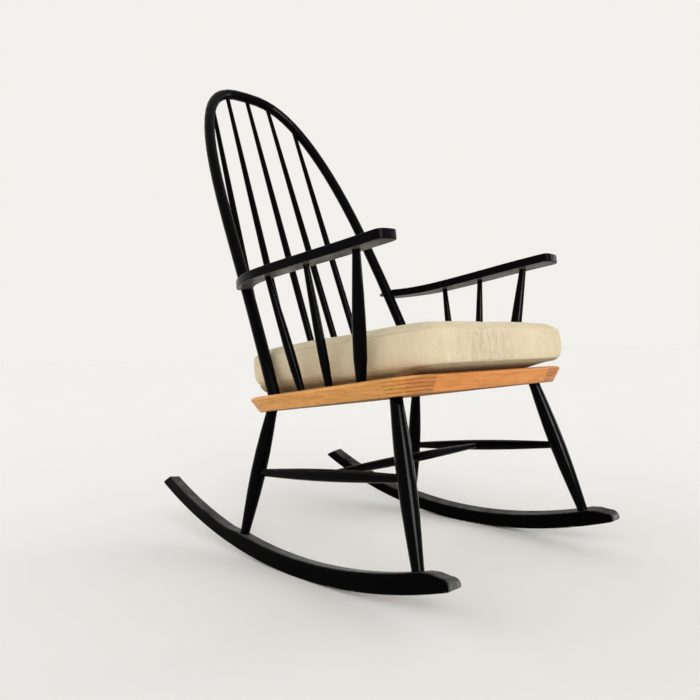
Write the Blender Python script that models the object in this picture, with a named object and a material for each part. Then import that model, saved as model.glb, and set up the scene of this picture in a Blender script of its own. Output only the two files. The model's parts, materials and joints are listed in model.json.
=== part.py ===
"""Spindle rocking chair with a bent bow, turned legs, a finger jointed seat frame and a loose cushion.

The chair faces -Y and X = 0 is its plane of symmetry. It is laid out upright, then rolled back on its
rockers by the lean it has when nobody sits in it. It ends with the floor at Z = 0 and the middle of its
depth at Y = 0. All sizes are in metres.
"""

import math

import bmesh
import bpy
from mathutils import Matrix, Vector
from mathutils.geometry import interpolate_bezier

for old in list(bpy.data.objects):
    bpy.data.objects.remove(old, do_unlink=True)

# Fits
GAP = 0.0003
END_GAP = 0.0006
ROUND_SIDES = 16
RING_SPACE = 0.045
PAST = 0.020
JOIN = 0.00001
ROD_PEAK = 0.5

# Seat frame
SEAT_WIDTH = 0.484
SEAT_FRONT = 0.240
SEAT_REAR = 0.250
SEAT_THICK = 0.030
SEAT_HEIGHT = 0.3265
SEAT_TILT = math.radians(4.3)
SEAT_AHEAD = 0.0905
SEAT_UNDERCUT = 0.015
SEAT_RIM_INSET = 0.0065
SEAT_RIM_DROP = 0.0055
SEAT_RIM_STEPS = 3
SEAT_BASE_ROUND = 0.0018
SEAT_FRONT_RADIUS = 0.045
SEAT_REAR_RADIUS = 0.125
SEAT_FRONT_STEPS = 6
SEAT_REAR_STEPS = 9
SIDE_RAIL_WIDTH = 0.075
FRONT_RAIL_WIDTH = 0.055
REAR_RAIL_WIDTH = 0.080
FINGER_LAYERS = 5
STRAP_COUNT = 5
STRAP_WIDTH = 0.050
STRAP_THICK = 0.0025
STRAP_LAP = 0.028

# Rockers
ROCKER_RADIUS = 1.080
ROCKER_LOW_AHEAD = 0.0985
ROCKER_TRACK = 0.494
ROCKER_WIDTH = 0.027
ROCKER_DEEP = 0.0304
ROCKER_CANT = math.radians(9.3)
ROCKER_SLIM = 0.0255
ROCKER_NOSE_DEEP = 0.018
ROCKER_LENGTH = 0.8185
ROCKER_FACET = 0.030
REST_LEAN = math.radians(2.15)
ROCKER_NOSE = 0.012
ROCKER_NOSE_DROP = 1.6
ROCKER_END_CUT = math.radians(49.0)
ROCKER_END_ROUND = 0.006
ROCKER_SOFTEN = 0.0016
ROCKER_END_FULLNESS = 0.4
ROCKER_NOSE_STEPS = 8
ROCKER_TOP_STEPS = 44
FRONT_STEP_PAST_LEG = 0.021
FRONT_STEP_RUN = 0.040
REAR_STEP_PAST_LEG = 0.012
REAR_STEP_RUN = 0.040

# Legs and stretchers
FRONT_LEG_INSET = 0.038
FRONT_LEG_SETBACK = 0.058
REAR_LEG_INSET = 0.031
REAR_LEG_SETBACK = 0.1086
FRONT_FOOT_AHEAD = 0.2400
REAR_FOOT_BEHIND = 0.2055
FRONT_FOOT_RADIUS = 0.0098
REAR_FOOT_RADIUS = 0.0090
LEG_TOP_RADIUS = 0.0107
FRONT_LEG_SWELL = 0.0048
REAR_LEG_SWELL = 0.0050
LEG_PEAK = 0.52
LEG_FOOT_DEPTH = 0.018
LEG_TOP_DEPTH = 0.020
LEG_PLAIN = 0.006
FRONT_STRETCHER_UP = 0.1344
REAR_STRETCHER_UP = 0.1226
STRETCHER_END_RADIUS = 0.0072
STRETCHER_SWELL = 0.0040
STRETCHER_STOP = 0.0045
STRETCHER_PLAIN = 0.016
CROSS_END_RADIUS = 0.0052
CROSS_SWELL = 0.0043
CROSS_STOP = 0.0035
CROSS_PLAIN = 0.012

# Bow and back spindles
BOW_RADIUS = 0.0120
BOW_FOOT_INSET = 0.0215
BOW_FOOT_BEHIND = 0.1160
BOW_DEPTH = 0.016
BOW_RISE = 0.7486
BOW_HOOP_RISE = 0.4834
BOW_TAPER = math.radians(3.09)
BOW_SQUARENESS = 2.856
BOW_LEAN = math.radians(21.78)
BOW_BEND = 0.0558
BOW_LEG_STEPS = 12
BOW_HOOP_STEPS = 32
BOW_SIDES = 4
SPINDLE_FOOT_X = (-0.147, -0.077, 0.0, 0.077, 0.147)
SPINDLE_TOP_X = (-0.121, -0.0605, 0.0, 0.0605, 0.121)
SPINDLE_SETBACK = 0.026
SPINDLE_FOOT_RADIUS = 0.0062
SPINDLE_TOP_RADIUS = 0.0050
SPINDLE_SWELL = 0.0024
SPINDLE_PEAK = 0.36
SPINDLE_DEPTH = 0.018
SPINDLE_STOP = 0.003
SPINDLE_TOP_PLAIN = 0.036

# Arms and their posts
ARM_HEIGHT = 0.5397
ARM_TILT = math.radians(3.25)
ARM_ROLL = math.radians(3.2)
ARM_THICK = 0.017
ARM_WIDTH = 0.046
ARM_REAR_WIDTH = 0.034
ARM_SOFTEN = 0.002
ARM_RIM_STEPS = 2
ARM_TIP_AHEAD = 0.206
ARM_TIP_REACH = 0.0185
ARM_TIP_X = 0.2405
ARM_BULGE_X = 0.2565
ARM_BULGE_BEHIND = 0.075
ARM_END_OUT = 0.0130
ARM_END_AHEAD = 0.0155
ARM_FRONT_PULL = 0.36
ARM_BULGE_PULL = 0.40
ARM_END_PULL = (0.54, 0.22)
ARM_TIP_FULLNESS = 0.62
ARM_STEPS = 14
ARM_END_STEPS = 10
ARM_TIP_STEPS = 12
POST_INSET = (0.024, 0.024, 0.0185)
POST_FOOT_AT = (-0.121, -0.0405, 0.0295)
POST_TOP_AT = (-0.151, -0.0350, 0.0692)
POST_FOOT_RADIUS = (0.0090, 0.0069, 0.0070)
POST_TOP_RADIUS = (0.0070, 0.0056, 0.0056)
POST_SWELL = (0.0036, 0.0022, 0.0024)
POST_PEAK = 0.35
POST_FOOT_DEPTH = 0.016
POST_TOP_DEPTH = 0.009
POST_PLAIN = 0.006
POST_NAMES = ("front", "middle", "rear")
SCREW_RADIUS = 0.0024
SCREW_HEAD_RADIUS = 0.0042
SCREW_HEAD_RISE = 0.0042
SCREW_COLLAR_RADIUS = 0.0052
SCREW_COLLAR_RISE = 0.0030
SCREW_REACH = 0.030
SCREW_TURN = math.radians(46.0)
SCREW_HEAD_STEPS = 5

# Cushion
CUSHION_SIDE_CLEAR = 0.0030
CUSHION_REAR_CLEAR = 0.0005
CUSHION_OVERHANG = 0.028
CUSHION_CORNER = 0.032
CUSHION_CORNER_DRAW = 0.25
CUSHION_CORNER_LEAST = 0.4
CUSHION_MIDDLE_INSET = 0.110
CUSHION_BASE_INSET = 0.045
CUSHION_LOWER_SEAM = 0.0215
CUSHION_BORDER = 0.051
CUSHION_CROWN = 0.019
CUSHION_CROWN_INSET = 0.130
CUSHION_CROWN_SPREAD = 2.2
CUSHION_CROWN_FULLNESS = 0.616
CUSHION_SEAM_DRAW = 0.0055
CUSHION_SEAM_LIP = 0.002
CUSHION_SLOPE = math.radians(1.6)
CUSHION_CORNER_STEPS = 6
CUSHION_SIDE_STEPS = 7
CUSHION_BASE_STEPS = 3
CUSHION_CROWN_STEPS = 4

HALF = SEAT_WIDTH / 2
LOW_Y = -ROCKER_LOW_AHEAD
PIVOT = Matrix.Translation((0.0, LOW_Y, ROCKER_RADIUS))
REST = PIVOT @ Matrix.Rotation(-REST_LEAN, 4, "X") @ PIVOT.inverted()
SIDES = ("left", "right")


def sign(label):
    """The sign of X on one side of the chair."""
    return 1 if label == "left" else -1


def material(name, colour, roughness, metallic=0.0):
    """One plain surface for a piece."""
    mat = bpy.data.materials.new(name)
    mat.use_nodes = True
    shader = mat.node_tree.nodes["Principled BSDF"]
    shader.inputs["Base Color"].default_value = (*colour, 1.0)
    shader.inputs["Roughness"].default_value = roughness
    shader.inputs["Metallic"].default_value = metallic
    mat.diffuse_color = (*colour, 1.0)
    return mat


def black(name):
    return material(name, (0.012, 0.012, 0.013), 0.34)


def natural(name):
    return material(name, (0.610, 0.285, 0.095), 0.50)


def add_object(bm, name, mat=None, smooth=True):
    """Turns the working mesh into an object of the scene, rolled back to the chair's rest."""
    bmesh.ops.transform(bm, matrix=REST, verts=bm.verts[:])
    bmesh.ops.recalc_face_normals(bm, faces=bm.faces[:])
    mesh = bpy.data.meshes.new(name)
    bm.to_mesh(mesh)
    bm.free()
    obj = bpy.data.objects.new(name, mesh)
    bpy.context.scene.collection.objects.link(obj)
    if mat is not None:
        mesh.materials.append(mat)
        if smooth:
            mesh.shade_smooth()
    return obj


def carve(target, bm, name, operation="DIFFERENCE"):
    """Cuts the working mesh out of the target, or keeps only what they share."""
    cutter = add_object(bm, name)
    cutter.hide_render = True
    cutter.display_type = "WIRE"
    mod = target.modifiers.new(name, "BOOLEAN")
    mod.solver = "EXACT"
    mod.operation = operation
    mod.object = cutter


def axis_frame(start, end):
    """The placing of a piece whose own Z runs from start to end."""
    turn = Vector((0, 0, 1)).rotation_difference(end - start)
    return Matrix.Translation(start) @ turn.to_matrix().to_4x4()


def toward(start, end, distance):
    return start + (end - start).normalized() * distance


def turned(name, start, end, plain, radii, swell, peak, mat):
    """A lathe turned rod: a plain length at each end and a smooth swelling in between."""
    length = (end - start).length
    inner = length - plain[0] - plain[1]
    rings = max(6, int(inner / RING_SPACE))
    bend = math.log(0.5) / math.log(peak)
    profile = [(0.0, 0.0), (radii[0], 0.0)]
    for step in range(rings + 1):
        part = step / rings
        bulge = swell * math.sin(math.pi * part**bend)
        radius = radii[0] + (radii[1] - radii[0]) * part + bulge
        profile.append((radius, plain[0] + inner * part))
    profile += [(radii[1], length), (0.0, length)]
    bm = bmesh.new()
    verts = [bm.verts.new((r, 0.0, z)) for r, z in profile]
    edges = [bm.edges.new(pair) for pair in zip(verts, verts[1:])]
    bmesh.ops.spin(
        bm,
        geom=verts + edges,
        cent=(0, 0, 0),
        axis=(0, 0, 1),
        angle=2 * math.pi,
        steps=ROUND_SIDES,
    )
    bmesh.ops.remove_doubles(bm, verts=bm.verts[:], dist=JOIN)
    bmesh.ops.transform(bm, matrix=axis_frame(start, end), verts=bm.verts[:])
    return add_object(bm, name, mat)


def bore(bm, end, toward_point, radius, length):
    """Adds a round socket to a cutter: its floor lies END_GAP past the rod's end."""
    floor = toward(end, toward_point, -END_GAP)
    mouth = toward(end, toward_point, length)
    made = bmesh.ops.create_cone(
        bm,
        cap_ends=True,
        segments=ROUND_SIDES,
        radius1=(radius + GAP) / math.cos(math.pi / ROUND_SIDES),
        radius2=(radius + GAP) / math.cos(math.pi / ROUND_SIDES),
        depth=(mouth - floor).length,
    )
    centre = axis_frame((floor + mouth) / 2, mouth)
    bmesh.ops.transform(bm, matrix=centre, verts=made["verts"])


def block(bm, low, high, frame):
    """Adds a box to the working mesh, given in a local frame."""
    size = Vector(high) - Vector(low)
    middle = (Vector(high) + Vector(low)) / 2
    place = frame @ Matrix.Translation(middle) @ Matrix.Diagonal((*size, 1.0))
    bmesh.ops.create_cube(bm, size=1.0, matrix=place)


def loft(bm, outlines):
    """A closed solid through a row of outlines that have the same number of corners."""
    rings = [[bm.verts.new(p) for p in outline] for outline in outlines]
    bm.faces.new(rings[0])
    bm.faces.new(rings[-1])
    count = len(rings[0])
    for under, over in zip(rings, rings[1:]):
        for i in range(count):
            j = (i + 1) % count
            bm.faces.new((under[i], under[j], over[j], over[i]))


# Seat frame placing: local X across, local Y to the rear along the seat, local Z square to it
SEAT = Matrix.Translation((0.0, -SEAT_AHEAD, SEAT_HEIGHT)) @ Matrix.Rotation(-SEAT_TILT, 4, "X")


def on_seat(x, y, z=0.0):
    return SEAT @ Vector((x, y, z))


def corner_arc(centre_x, centre_y, radius, start, steps):
    """Points of a quarter circle that starts at an angle in quarter turns."""
    points = []
    for i in range(steps + 1):
        angle = math.pi / 2 * (start + i / steps)
        points.append((centre_x + radius * math.cos(angle), centre_y + radius * math.sin(angle)))
    return points


def seat_outline(inset):
    """The D shape of the seat: small front corners and large rear ones."""
    rear = SEAT_REAR_RADIUS
    front = SEAT_FRONT_RADIUS
    points = corner_arc(HALF - rear, SEAT_REAR - rear, rear - inset, 0, SEAT_REAR_STEPS)
    points += corner_arc(rear - HALF, SEAT_REAR - rear, rear - inset, 1, SEAT_REAR_STEPS)
    points += corner_arc(front - HALF, front - SEAT_FRONT, front - inset, 2, SEAT_FRONT_STEPS)
    points += corner_arc(HALF - front, front - SEAT_FRONT, front - inset, 3, SEAT_FRONT_STEPS)
    return points


# Rocker outline
NOSE_ANGLE = -math.asin((ROCKER_LENGTH / 2 + LOW_Y - ROCKER_NOSE) / ROCKER_RADIUS)
TAIL_ANGLE = math.asin((ROCKER_LENGTH / 2 - LOW_Y) / ROCKER_RADIUS)
FOOT_REACH = ROCKER_RADIUS - ROCKER_DEEP
FRONT_FOOT_ANGLE = -math.asin(FRONT_FOOT_AHEAD / FOOT_REACH)
REAR_FOOT_ANGLE = math.asin(REAR_FOOT_BEHIND / FOOT_REACH)


def ease(part):
    part = min(max(part, 0.0), 1.0)
    return part * part * (3 - 2 * part)


def rocker_depth(angle):
    """How thick the rocker is at an angle of its arc: deep between the legs, slim past them."""
    before = (FRONT_FOOT_ANGLE - angle) * ROCKER_RADIUS - FRONT_STEP_PAST_LEG
    behind = (angle - REAR_FOOT_ANGLE) * ROCKER_RADIUS - REAR_STEP_PAST_LEG
    nose_drop = (ROCKER_DEEP - ROCKER_NOSE_DEEP) * ease(before / FRONT_STEP_RUN)
    tail_drop = (ROCKER_DEEP - ROCKER_SLIM) * ease(behind / REAR_STEP_RUN)
    return ROCKER_DEEP - nose_drop - tail_drop


def rocker_point(angle, up):
    """A point of the rocker's side, a distance up from its running edge."""
    reach = ROCKER_RADIUS - up
    return (LOW_Y + reach * math.sin(angle), ROCKER_RADIUS - reach * math.cos(angle))


def rocker_outline(cant, inset):
    """The side view of a rocker, from the tail along the bottom to the nose and back along the top.

    The top is raised by the cant, which makes it square to the splayed legs, and the whole outline is
    drawn in by an inset.
    """
    facet = ROCKER_FACET / ROCKER_RADIUS
    last = TAIL_ANGLE - ROCKER_END_ROUND / ROCKER_RADIUS
    bottom = []
    step = math.floor((last - REST_LEAN) / facet - 0.5)
    while REST_LEAN + (step + 0.5) * facet > NOSE_ANGLE:
        bottom.append(REST_LEAN + (step + 0.5) * facet)
        step -= 1
    drawn_in = inset / math.sin(ROCKER_END_CUT) / ROCKER_RADIUS
    tail_start = rocker_point(last - drawn_in, inset)
    outline = [tail_start]
    outline += [rocker_point(angle, inset) for angle in bottom if last - angle > facet / 4]
    nose = rocker_depth(NOSE_ANGLE) + cant - 2 * inset
    for i in range(ROCKER_NOSE_STEPS + 1):
        turn = math.pi * i / ROCKER_NOSE_STEPS
        angle = NOSE_ANGLE - (ROCKER_NOSE - inset) / ROCKER_RADIUS * math.sin(turn)
        high = (0.5 - 0.5 * math.cos(turn)) ** ROCKER_NOSE_DROP
        outline.append(rocker_point(angle, inset + nose * high))
    tail = TAIL_ANGLE - drawn_in
    top_end = tail - ROCKER_SLIM / math.tan(ROCKER_END_CUT) / ROCKER_RADIUS
    for i in range(1, ROCKER_TOP_STEPS + 1):
        angle = NOSE_ANGLE + (top_end - NOSE_ANGLE) * i / ROCKER_TOP_STEPS
        outline.append(rocker_point(angle, rocker_depth(angle) + cant - inset))
    tip = Vector(rocker_point(tail, inset))
    heel = Vector(rocker_point(top_end, ROCKER_SLIM + cant - inset))
    cut = (heel - tip).normalized() * ROCKER_END_ROUND
    soft = (tip + cut + Vector(tail_start)) / 2
    outline.append(tuple(tip + cut))
    outline.append(tuple(soft.lerp(tip, ROCKER_END_FULLNESS)))
    return outline


def rocker(name, side):
    """A sawn board with chamfered edges."""
    bm = bmesh.new()
    half = ROCKER_WIDTH / 2
    edge = ROCKER_SOFTEN
    outlines = []
    for across, inset in ((-half, edge), (edge - half, 0.0), (half - edge, 0.0), (half, edge)):
        x = side * (ROCKER_TRACK / 2 + across)
        sides = rocker_outline(across * math.tan(ROCKER_CANT), inset)
        outlines.append([(x, y, z) for y, z in sides])
    loft(bm, outlines)
    return add_object(bm, name, black(name), smooth=False)


# Seat rails
LAYER = SEAT_THICK / FINGER_LAYERS
SIDE_EDGE = HALF - SIDE_RAIL_WIDTH
FRONT_EDGE = FRONT_RAIL_WIDTH - SEAT_FRONT
REAR_EDGE = SEAT_REAR - REAR_RAIL_WIDTH


def seat_levels():
    """Inset and height of each outline of the seat blank: undercut sides and a rounded upper rim."""
    levels = [
        (SEAT_UNDERCUT + SEAT_BASE_ROUND, -SEAT_THICK),
        (SEAT_UNDERCUT, SEAT_BASE_ROUND - SEAT_THICK),
    ]
    for i in range(SEAT_RIM_STEPS + 1):
        turn = math.pi / 2 * i / SEAT_RIM_STEPS
        levels.append((SEAT_RIM_INSET * (1 - math.cos(turn)), SEAT_RIM_DROP * (math.sin(turn) - 1)))
    return levels


def seat_rail(name, low, high, slots, layers):
    """One rail: the part of the seat blank inside a box, with comb slots cut at its ends."""
    bm = bmesh.new()
    loft(bm, [[on_seat(x, y, up) for x, y in seat_outline(inset)] for inset, up in seat_levels()])
    rail = add_object(bm, name, natural(name), smooth=False)
    bm = bmesh.new()
    block(bm, low, high, SEAT)
    carve(rail, bm, name + "_stock", "INTERSECT")
    bm = bmesh.new()
    for x0, x1, y0, y1 in slots:
        for layer in layers:
            top = -layer * LAYER + GAP if layer else PAST
            base = -(layer + 1) * LAYER - GAP
            if layer == FINGER_LAYERS - 1:
                base = -SEAT_THICK - PAST
            block(bm, (x0, y0, base), (x1, y1, top), SEAT)
    carve(rail, bm, name + "_comb")
    return rail


def side_rail(name, side):
    far = HALF + PAST
    x0, x1 = sorted((side * SIDE_EDGE, side * far))
    front = (x0 - PAST, x1 + PAST, -SEAT_FRONT - PAST, FRONT_EDGE + GAP)
    rear = (x0 - PAST, x1 + PAST, REAR_EDGE - GAP, SEAT_REAR + PAST)
    low = (x0, -SEAT_FRONT - PAST / 2, -SEAT_THICK - PAST / 2)
    high = (x1, SEAT_REAR + PAST / 2, PAST / 2)
    return seat_rail(name, low, high, (front, rear), range(1, FINGER_LAYERS, 2))


def cross_rail(name, y0, y1):
    edge = SIDE_EDGE - GAP
    far = HALF + 2 * PAST
    left = (edge, far, y0 - PAST, y1 + PAST)
    right = (-far, -edge, y0 - PAST, y1 + PAST)
    low = (-HALF - PAST, y0, -SEAT_THICK - PAST / 2)
    high = (HALF + PAST, y1, PAST / 2)
    return seat_rail(name, low, high, (left, right), range(0, FINGER_LAYERS, 2))


def strap_places():
    """The middle of each strap, evenly spread between the front and rear rails."""
    room = REAR_EDGE - FRONT_EDGE
    space = (room - STRAP_COUNT * STRAP_WIDTH) / (STRAP_COUNT + 1)
    first = FRONT_EDGE + space + STRAP_WIDTH / 2
    return [first + i * (space + STRAP_WIDTH) for i in range(STRAP_COUNT)]


# Bow path: heights are measured up from the foot of the bow
BOW_FOOT = on_seat(HALF - BOW_FOOT_INSET, BOW_FOOT_BEHIND)


def bow_point(half_width, height):
    """A point of the bow's centre line for a half width and a height above its foot."""
    back = math.tan(BOW_LEAN) * height + BOW_BEND * (height / BOW_RISE) ** 2
    return Vector((half_width, BOW_FOOT.y + back, BOW_FOOT.z + height))


def bow_half_width(height):
    return BOW_FOOT.x - math.tan(BOW_TAPER) * height


def bow_leg(height):
    return bow_point(bow_half_width(height), height)


def bow_hoop(angle):
    """The rounded part of the bow, from its left shoulder at 0 to its right one at half a turn."""
    power = 2 / BOW_SQUARENESS
    height = BOW_RISE - BOW_HOOP_RISE + BOW_HOOP_RISE * abs(math.sin(angle)) ** power
    width = bow_half_width(height) * abs(math.cos(angle)) ** power
    return bow_point(math.copysign(width, math.cos(angle)), height)


def hoop_at(x):
    """The point of the bow's hoop that lies at a given distance from the middle."""
    low, high = 0.0, math.pi / 2
    for _ in range(50):
        angle = (low + high) / 2
        if bow_hoop(angle).x > abs(x):
            low = angle
        else:
            high = angle
    point = bow_hoop(low)
    return Vector((x, point.y, point.z))


def mirrored(point):
    return Vector((-point.x, point.y, point.z))


BOW_START = toward(BOW_FOOT, bow_leg(BOW_DEPTH), -BOW_DEPTH)


def bow_path():
    """The centre line of the bow from the end of its left foot to the end of its right one."""
    shoulder = BOW_RISE - BOW_HOOP_RISE
    left = [BOW_START]
    left += [bow_leg(shoulder * i / BOW_LEG_STEPS) for i in range(1, BOW_LEG_STEPS)]
    hoop = [bow_hoop(math.pi * i / BOW_HOOP_STEPS) for i in range(BOW_HOOP_STEPS + 1)]
    return left + hoop + [mirrored(p) for p in reversed(left)]


def bow(name):
    """A bent round rod drawn along the bow path."""
    curve = bpy.data.curves.new(name + "_path", "CURVE")
    curve.dimensions = "3D"
    path = bow_path()
    spline = curve.splines.new("POLY")
    spline.points.add(len(path) - 1)
    for point, place in zip(spline.points, path):
        point.co = (*place, 1.0)
    curve.bevel_depth = BOW_RADIUS
    curve.bevel_resolution = BOW_SIDES
    curve.use_fill_caps = True
    drawn = bpy.data.objects.new(name + "_path", curve)
    bpy.context.scene.collection.objects.link(drawn)
    graph = bpy.context.evaluated_depsgraph_get()
    bm = bmesh.new()
    bm.from_mesh(drawn.evaluated_get(graph).to_mesh())
    bpy.data.objects.remove(drawn, do_unlink=True)
    bmesh.ops.remove_doubles(bm, verts=bm.verts[:], dist=JOIN)
    return add_object(bm, name, black(name))


# Arms: plan points are measured from the seat's middle, heights follow the arm's slope
ARM = Matrix.Translation((0.0, -SEAT_AHEAD, ARM_HEIGHT)) @ Matrix.Rotation(-ARM_TILT, 4, "X")


def arm_lift(x):
    """How much higher the arm lies toward its inner edge than in the middle of its front end."""
    return math.tan(ARM_ROLL) * (ARM_TIP_X - abs(x))


def on_arm(x, y, up=0.0):
    return ARM @ Vector((x, y, up + arm_lift(x)))


def bow_at_arm(up):
    """Where the bow's leg passes a level of the arm."""
    height = ARM_HEIGHT - BOW_FOOT.z
    for _ in range(30):
        crossing = bow_leg(height)
        behind = crossing.y + SEAT_AHEAD
        level = ARM_HEIGHT + up + arm_lift(crossing.x) - BOW_FOOT.z
        height = level - math.tan(ARM_TILT) * behind
    return bow_leg(height)


ARM_CROSSING = bow_at_arm(ARM_THICK / 2)
CROSSING_BEHIND = ARM_CROSSING.y + SEAT_AHEAD


def arm_middle():
    """The middle line of the left arm in plan, from its front to its rear end."""
    front = Vector((ARM_TIP_X, -ARM_TIP_AHEAD, 0))
    bulge = Vector((ARM_BULGE_X, ARM_BULGE_BEHIND, 0))
    end = Vector((ARM_CROSSING.x + ARM_END_OUT, CROSSING_BEHIND - ARM_END_AHEAD, 0))
    reach = bulge.y - front.y
    tail = end.y - bulge.y
    first = interpolate_bezier(
        front,
        front + Vector((0, ARM_FRONT_PULL * reach, 0)),
        bulge - Vector((0, ARM_FRONT_PULL * reach, 0)),
        bulge,
        ARM_STEPS,
    )
    second = interpolate_bezier(
        bulge,
        bulge + Vector((0, ARM_BULGE_PULL * tail, 0)),
        end + Vector((ARM_END_PULL[0] * (bulge.x - end.x), -ARM_END_PULL[1] * tail, 0)),
        end,
        ARM_STEPS,
    )
    return first + second[1:]


ARM_LINE = arm_middle()


def arm_x(y):
    """The middle of the left arm in plan at a distance behind the seat's middle."""
    for near, far in zip(ARM_LINE, ARM_LINE[1:]):
        if near.y <= y <= far.y:
            return near.x + (far.x - near.x) * (y - near.y) / (far.y - near.y)
    return ARM_LINE[0].x


def arm_outline(inset):
    """The plan of the left arm, drawn in by an inset: an oval front end and a round rear end."""
    half = ARM_WIDTH / 2 - inset
    rear_half = ARM_REAR_WIDTH / 2 - inset
    bulge_y = ARM_BULGE_BEHIND
    end_y = ARM_LINE[-1].y
    outer, inner = [], []
    for i, place in enumerate(ARM_LINE):
        before = ARM_LINE[max(i - 1, 0)]
        after = ARM_LINE[min(i + 1, len(ARM_LINE) - 1)]
        run = (after - before).normalized()
        wide = half + (rear_half - half) * ease((place.y - bulge_y) / (end_y - bulge_y))
        square = Vector((run.y, -run.x, 0)) * wide
        outer.append(place + square)
        inner.append(place - square)
    run = (ARM_LINE[-1] - ARM_LINE[-2]).normalized()
    square = Vector((run.y, -run.x, 0))
    rear = []
    for i in range(1, ARM_END_STEPS):
        turn = math.pi * i / ARM_END_STEPS
        rear.append(ARM_LINE[-1] + (square * math.cos(turn) + run * math.sin(turn)) * rear_half)
    tip = []
    for i in range(1, ARM_TIP_STEPS):
        turn = math.pi * i / ARM_TIP_STEPS
        across = -math.copysign(abs(math.cos(turn)) ** ARM_TIP_FULLNESS, math.cos(turn)) * half
        ahead = (inset - ARM_TIP_REACH) * math.sin(turn) ** ARM_TIP_FULLNESS
        tip.append(ARM_LINE[0] + Vector((across, ahead, 0)))
    return outer + rear + inner[::-1] + tip


def arm_levels():
    """Inset and height of each outline of the arm: rounded rims below and above."""
    rim = []
    for i in range(ARM_RIM_STEPS + 1):
        turn = math.pi / 2 * i / ARM_RIM_STEPS
        rim.append((ARM_SOFTEN * (1 - math.sin(turn)), ARM_SOFTEN * (1 - math.cos(turn))))
    return rim + [(inset, ARM_THICK - up) for inset, up in reversed(rim)]


def arm(name, side):
    bm = bmesh.new()
    loft(bm, [[on_arm(side * p.x, p.y, up) for p in arm_outline(inset)] for inset, up in arm_levels()])
    return add_object(bm, name, black(name))


def screw_line(side):
    """The start of an arm screw's shank inside the arm and a point behind the bow on its axis."""
    centre = Vector((side * ARM_CROSSING.x, ARM_CROSSING.y, ARM_CROSSING.z))
    slope = -math.tan(ARM_TILT) * math.cos(SCREW_TURN)
    back = Vector((-side * math.sin(SCREW_TURN), math.cos(SCREW_TURN), slope)).normalized()
    return centre - back * SCREW_REACH, centre + back * (BOW_RADIUS + GAP)


def arm_screw(name, side):
    """A round headed screw through the bow into the arm, standing on a collar."""
    end, seat = screw_line(side)
    shank = (seat - end).length
    profile = [(0.0, 0.0), (SCREW_RADIUS, 0.0), (SCREW_RADIUS, shank)]
    profile += [(SCREW_COLLAR_RADIUS, shank), (SCREW_COLLAR_RADIUS, shank + SCREW_COLLAR_RISE)]
    for i in range(SCREW_HEAD_STEPS + 1):
        turn = math.pi / 2 * i / SCREW_HEAD_STEPS
        high = shank + SCREW_COLLAR_RISE + SCREW_HEAD_RISE * math.sin(turn)
        profile.append((SCREW_HEAD_RADIUS * math.cos(turn), high))
    bm = bmesh.new()
    verts = [bm.verts.new((r, 0.0, z)) for r, z in profile]
    edges = [bm.edges.new(pair) for pair in zip(verts, verts[1:])]
    bmesh.ops.spin(
        bm,
        geom=verts + edges,
        cent=(0, 0, 0),
        axis=(0, 0, 1),
        angle=2 * math.pi,
        steps=ROUND_SIDES,
    )
    bmesh.ops.remove_doubles(bm, verts=bm.verts[:], dist=JOIN)
    bmesh.ops.transform(bm, matrix=axis_frame(end, seat), verts=bm.verts[:])
    return add_object(bm, name, material(name, (0.030, 0.030, 0.032), 0.35, 1.0))


# Cushion: it fills the room between the arm posts, the bow's feet and the back spindles
BOW_REACH = BOW_FOOT_INSET + BOW_RADIUS
POST_REACH = max(i + r + w for i, r, w in zip(POST_INSET, POST_FOOT_RADIUS, POST_SWELL))
CUSHION_HALF = HALF - max(BOW_REACH, POST_REACH) - CUSHION_SIDE_CLEAR
CUSHION_FRONT = SEAT_FRONT + CUSHION_OVERHANG
SPINDLE_REACH = SPINDLE_SETBACK + SPINDLE_FOOT_RADIUS + SPINDLE_SWELL
CUSHION_REAR = SEAT_REAR - SPINDLE_REACH - CUSHION_REAR_CLEAR
CUSHION_TOP_SEAM = CUSHION_LOWER_SEAM + CUSHION_BORDER


def cushion_ring(inset, high):
    """One level of the cushion: a rounded oblong, drawn in by an inset."""
    wide = CUSHION_HALF - inset
    front = CUSHION_FRONT - inset
    rear = CUSHION_REAR - inset
    radius = max(CUSHION_CORNER - inset * CUSHION_CORNER_DRAW, CUSHION_CORNER * CUSHION_CORNER_LEAST)
    corners = (
        (wide - radius, rear - radius),
        (radius - wide, rear - radius),
        (radius - wide, radius - front),
        (wide - radius, radius - front),
    )
    points = []
    for quarter, (x, y) in enumerate(corners):
        arc = corner_arc(x, y, radius, quarter, CUSHION_CORNER_STEPS)
        points += arc
        next_x, next_y = corners[(quarter + 1) % 4]
        start = Vector(arc[-1])
        end = Vector(corner_arc(next_x, next_y, radius, quarter + 1, 1)[0])
        for i in range(1, CUSHION_SIDE_STEPS):
            points.append(tuple(start.lerp(end, i / CUSHION_SIDE_STEPS)))
    lift = math.tan(CUSHION_SLOPE) * high / CUSHION_TOP_SEAM
    return [on_seat(x, y, high + lift * (y + CUSHION_FRONT / 2)) for x, y in points]


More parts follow.
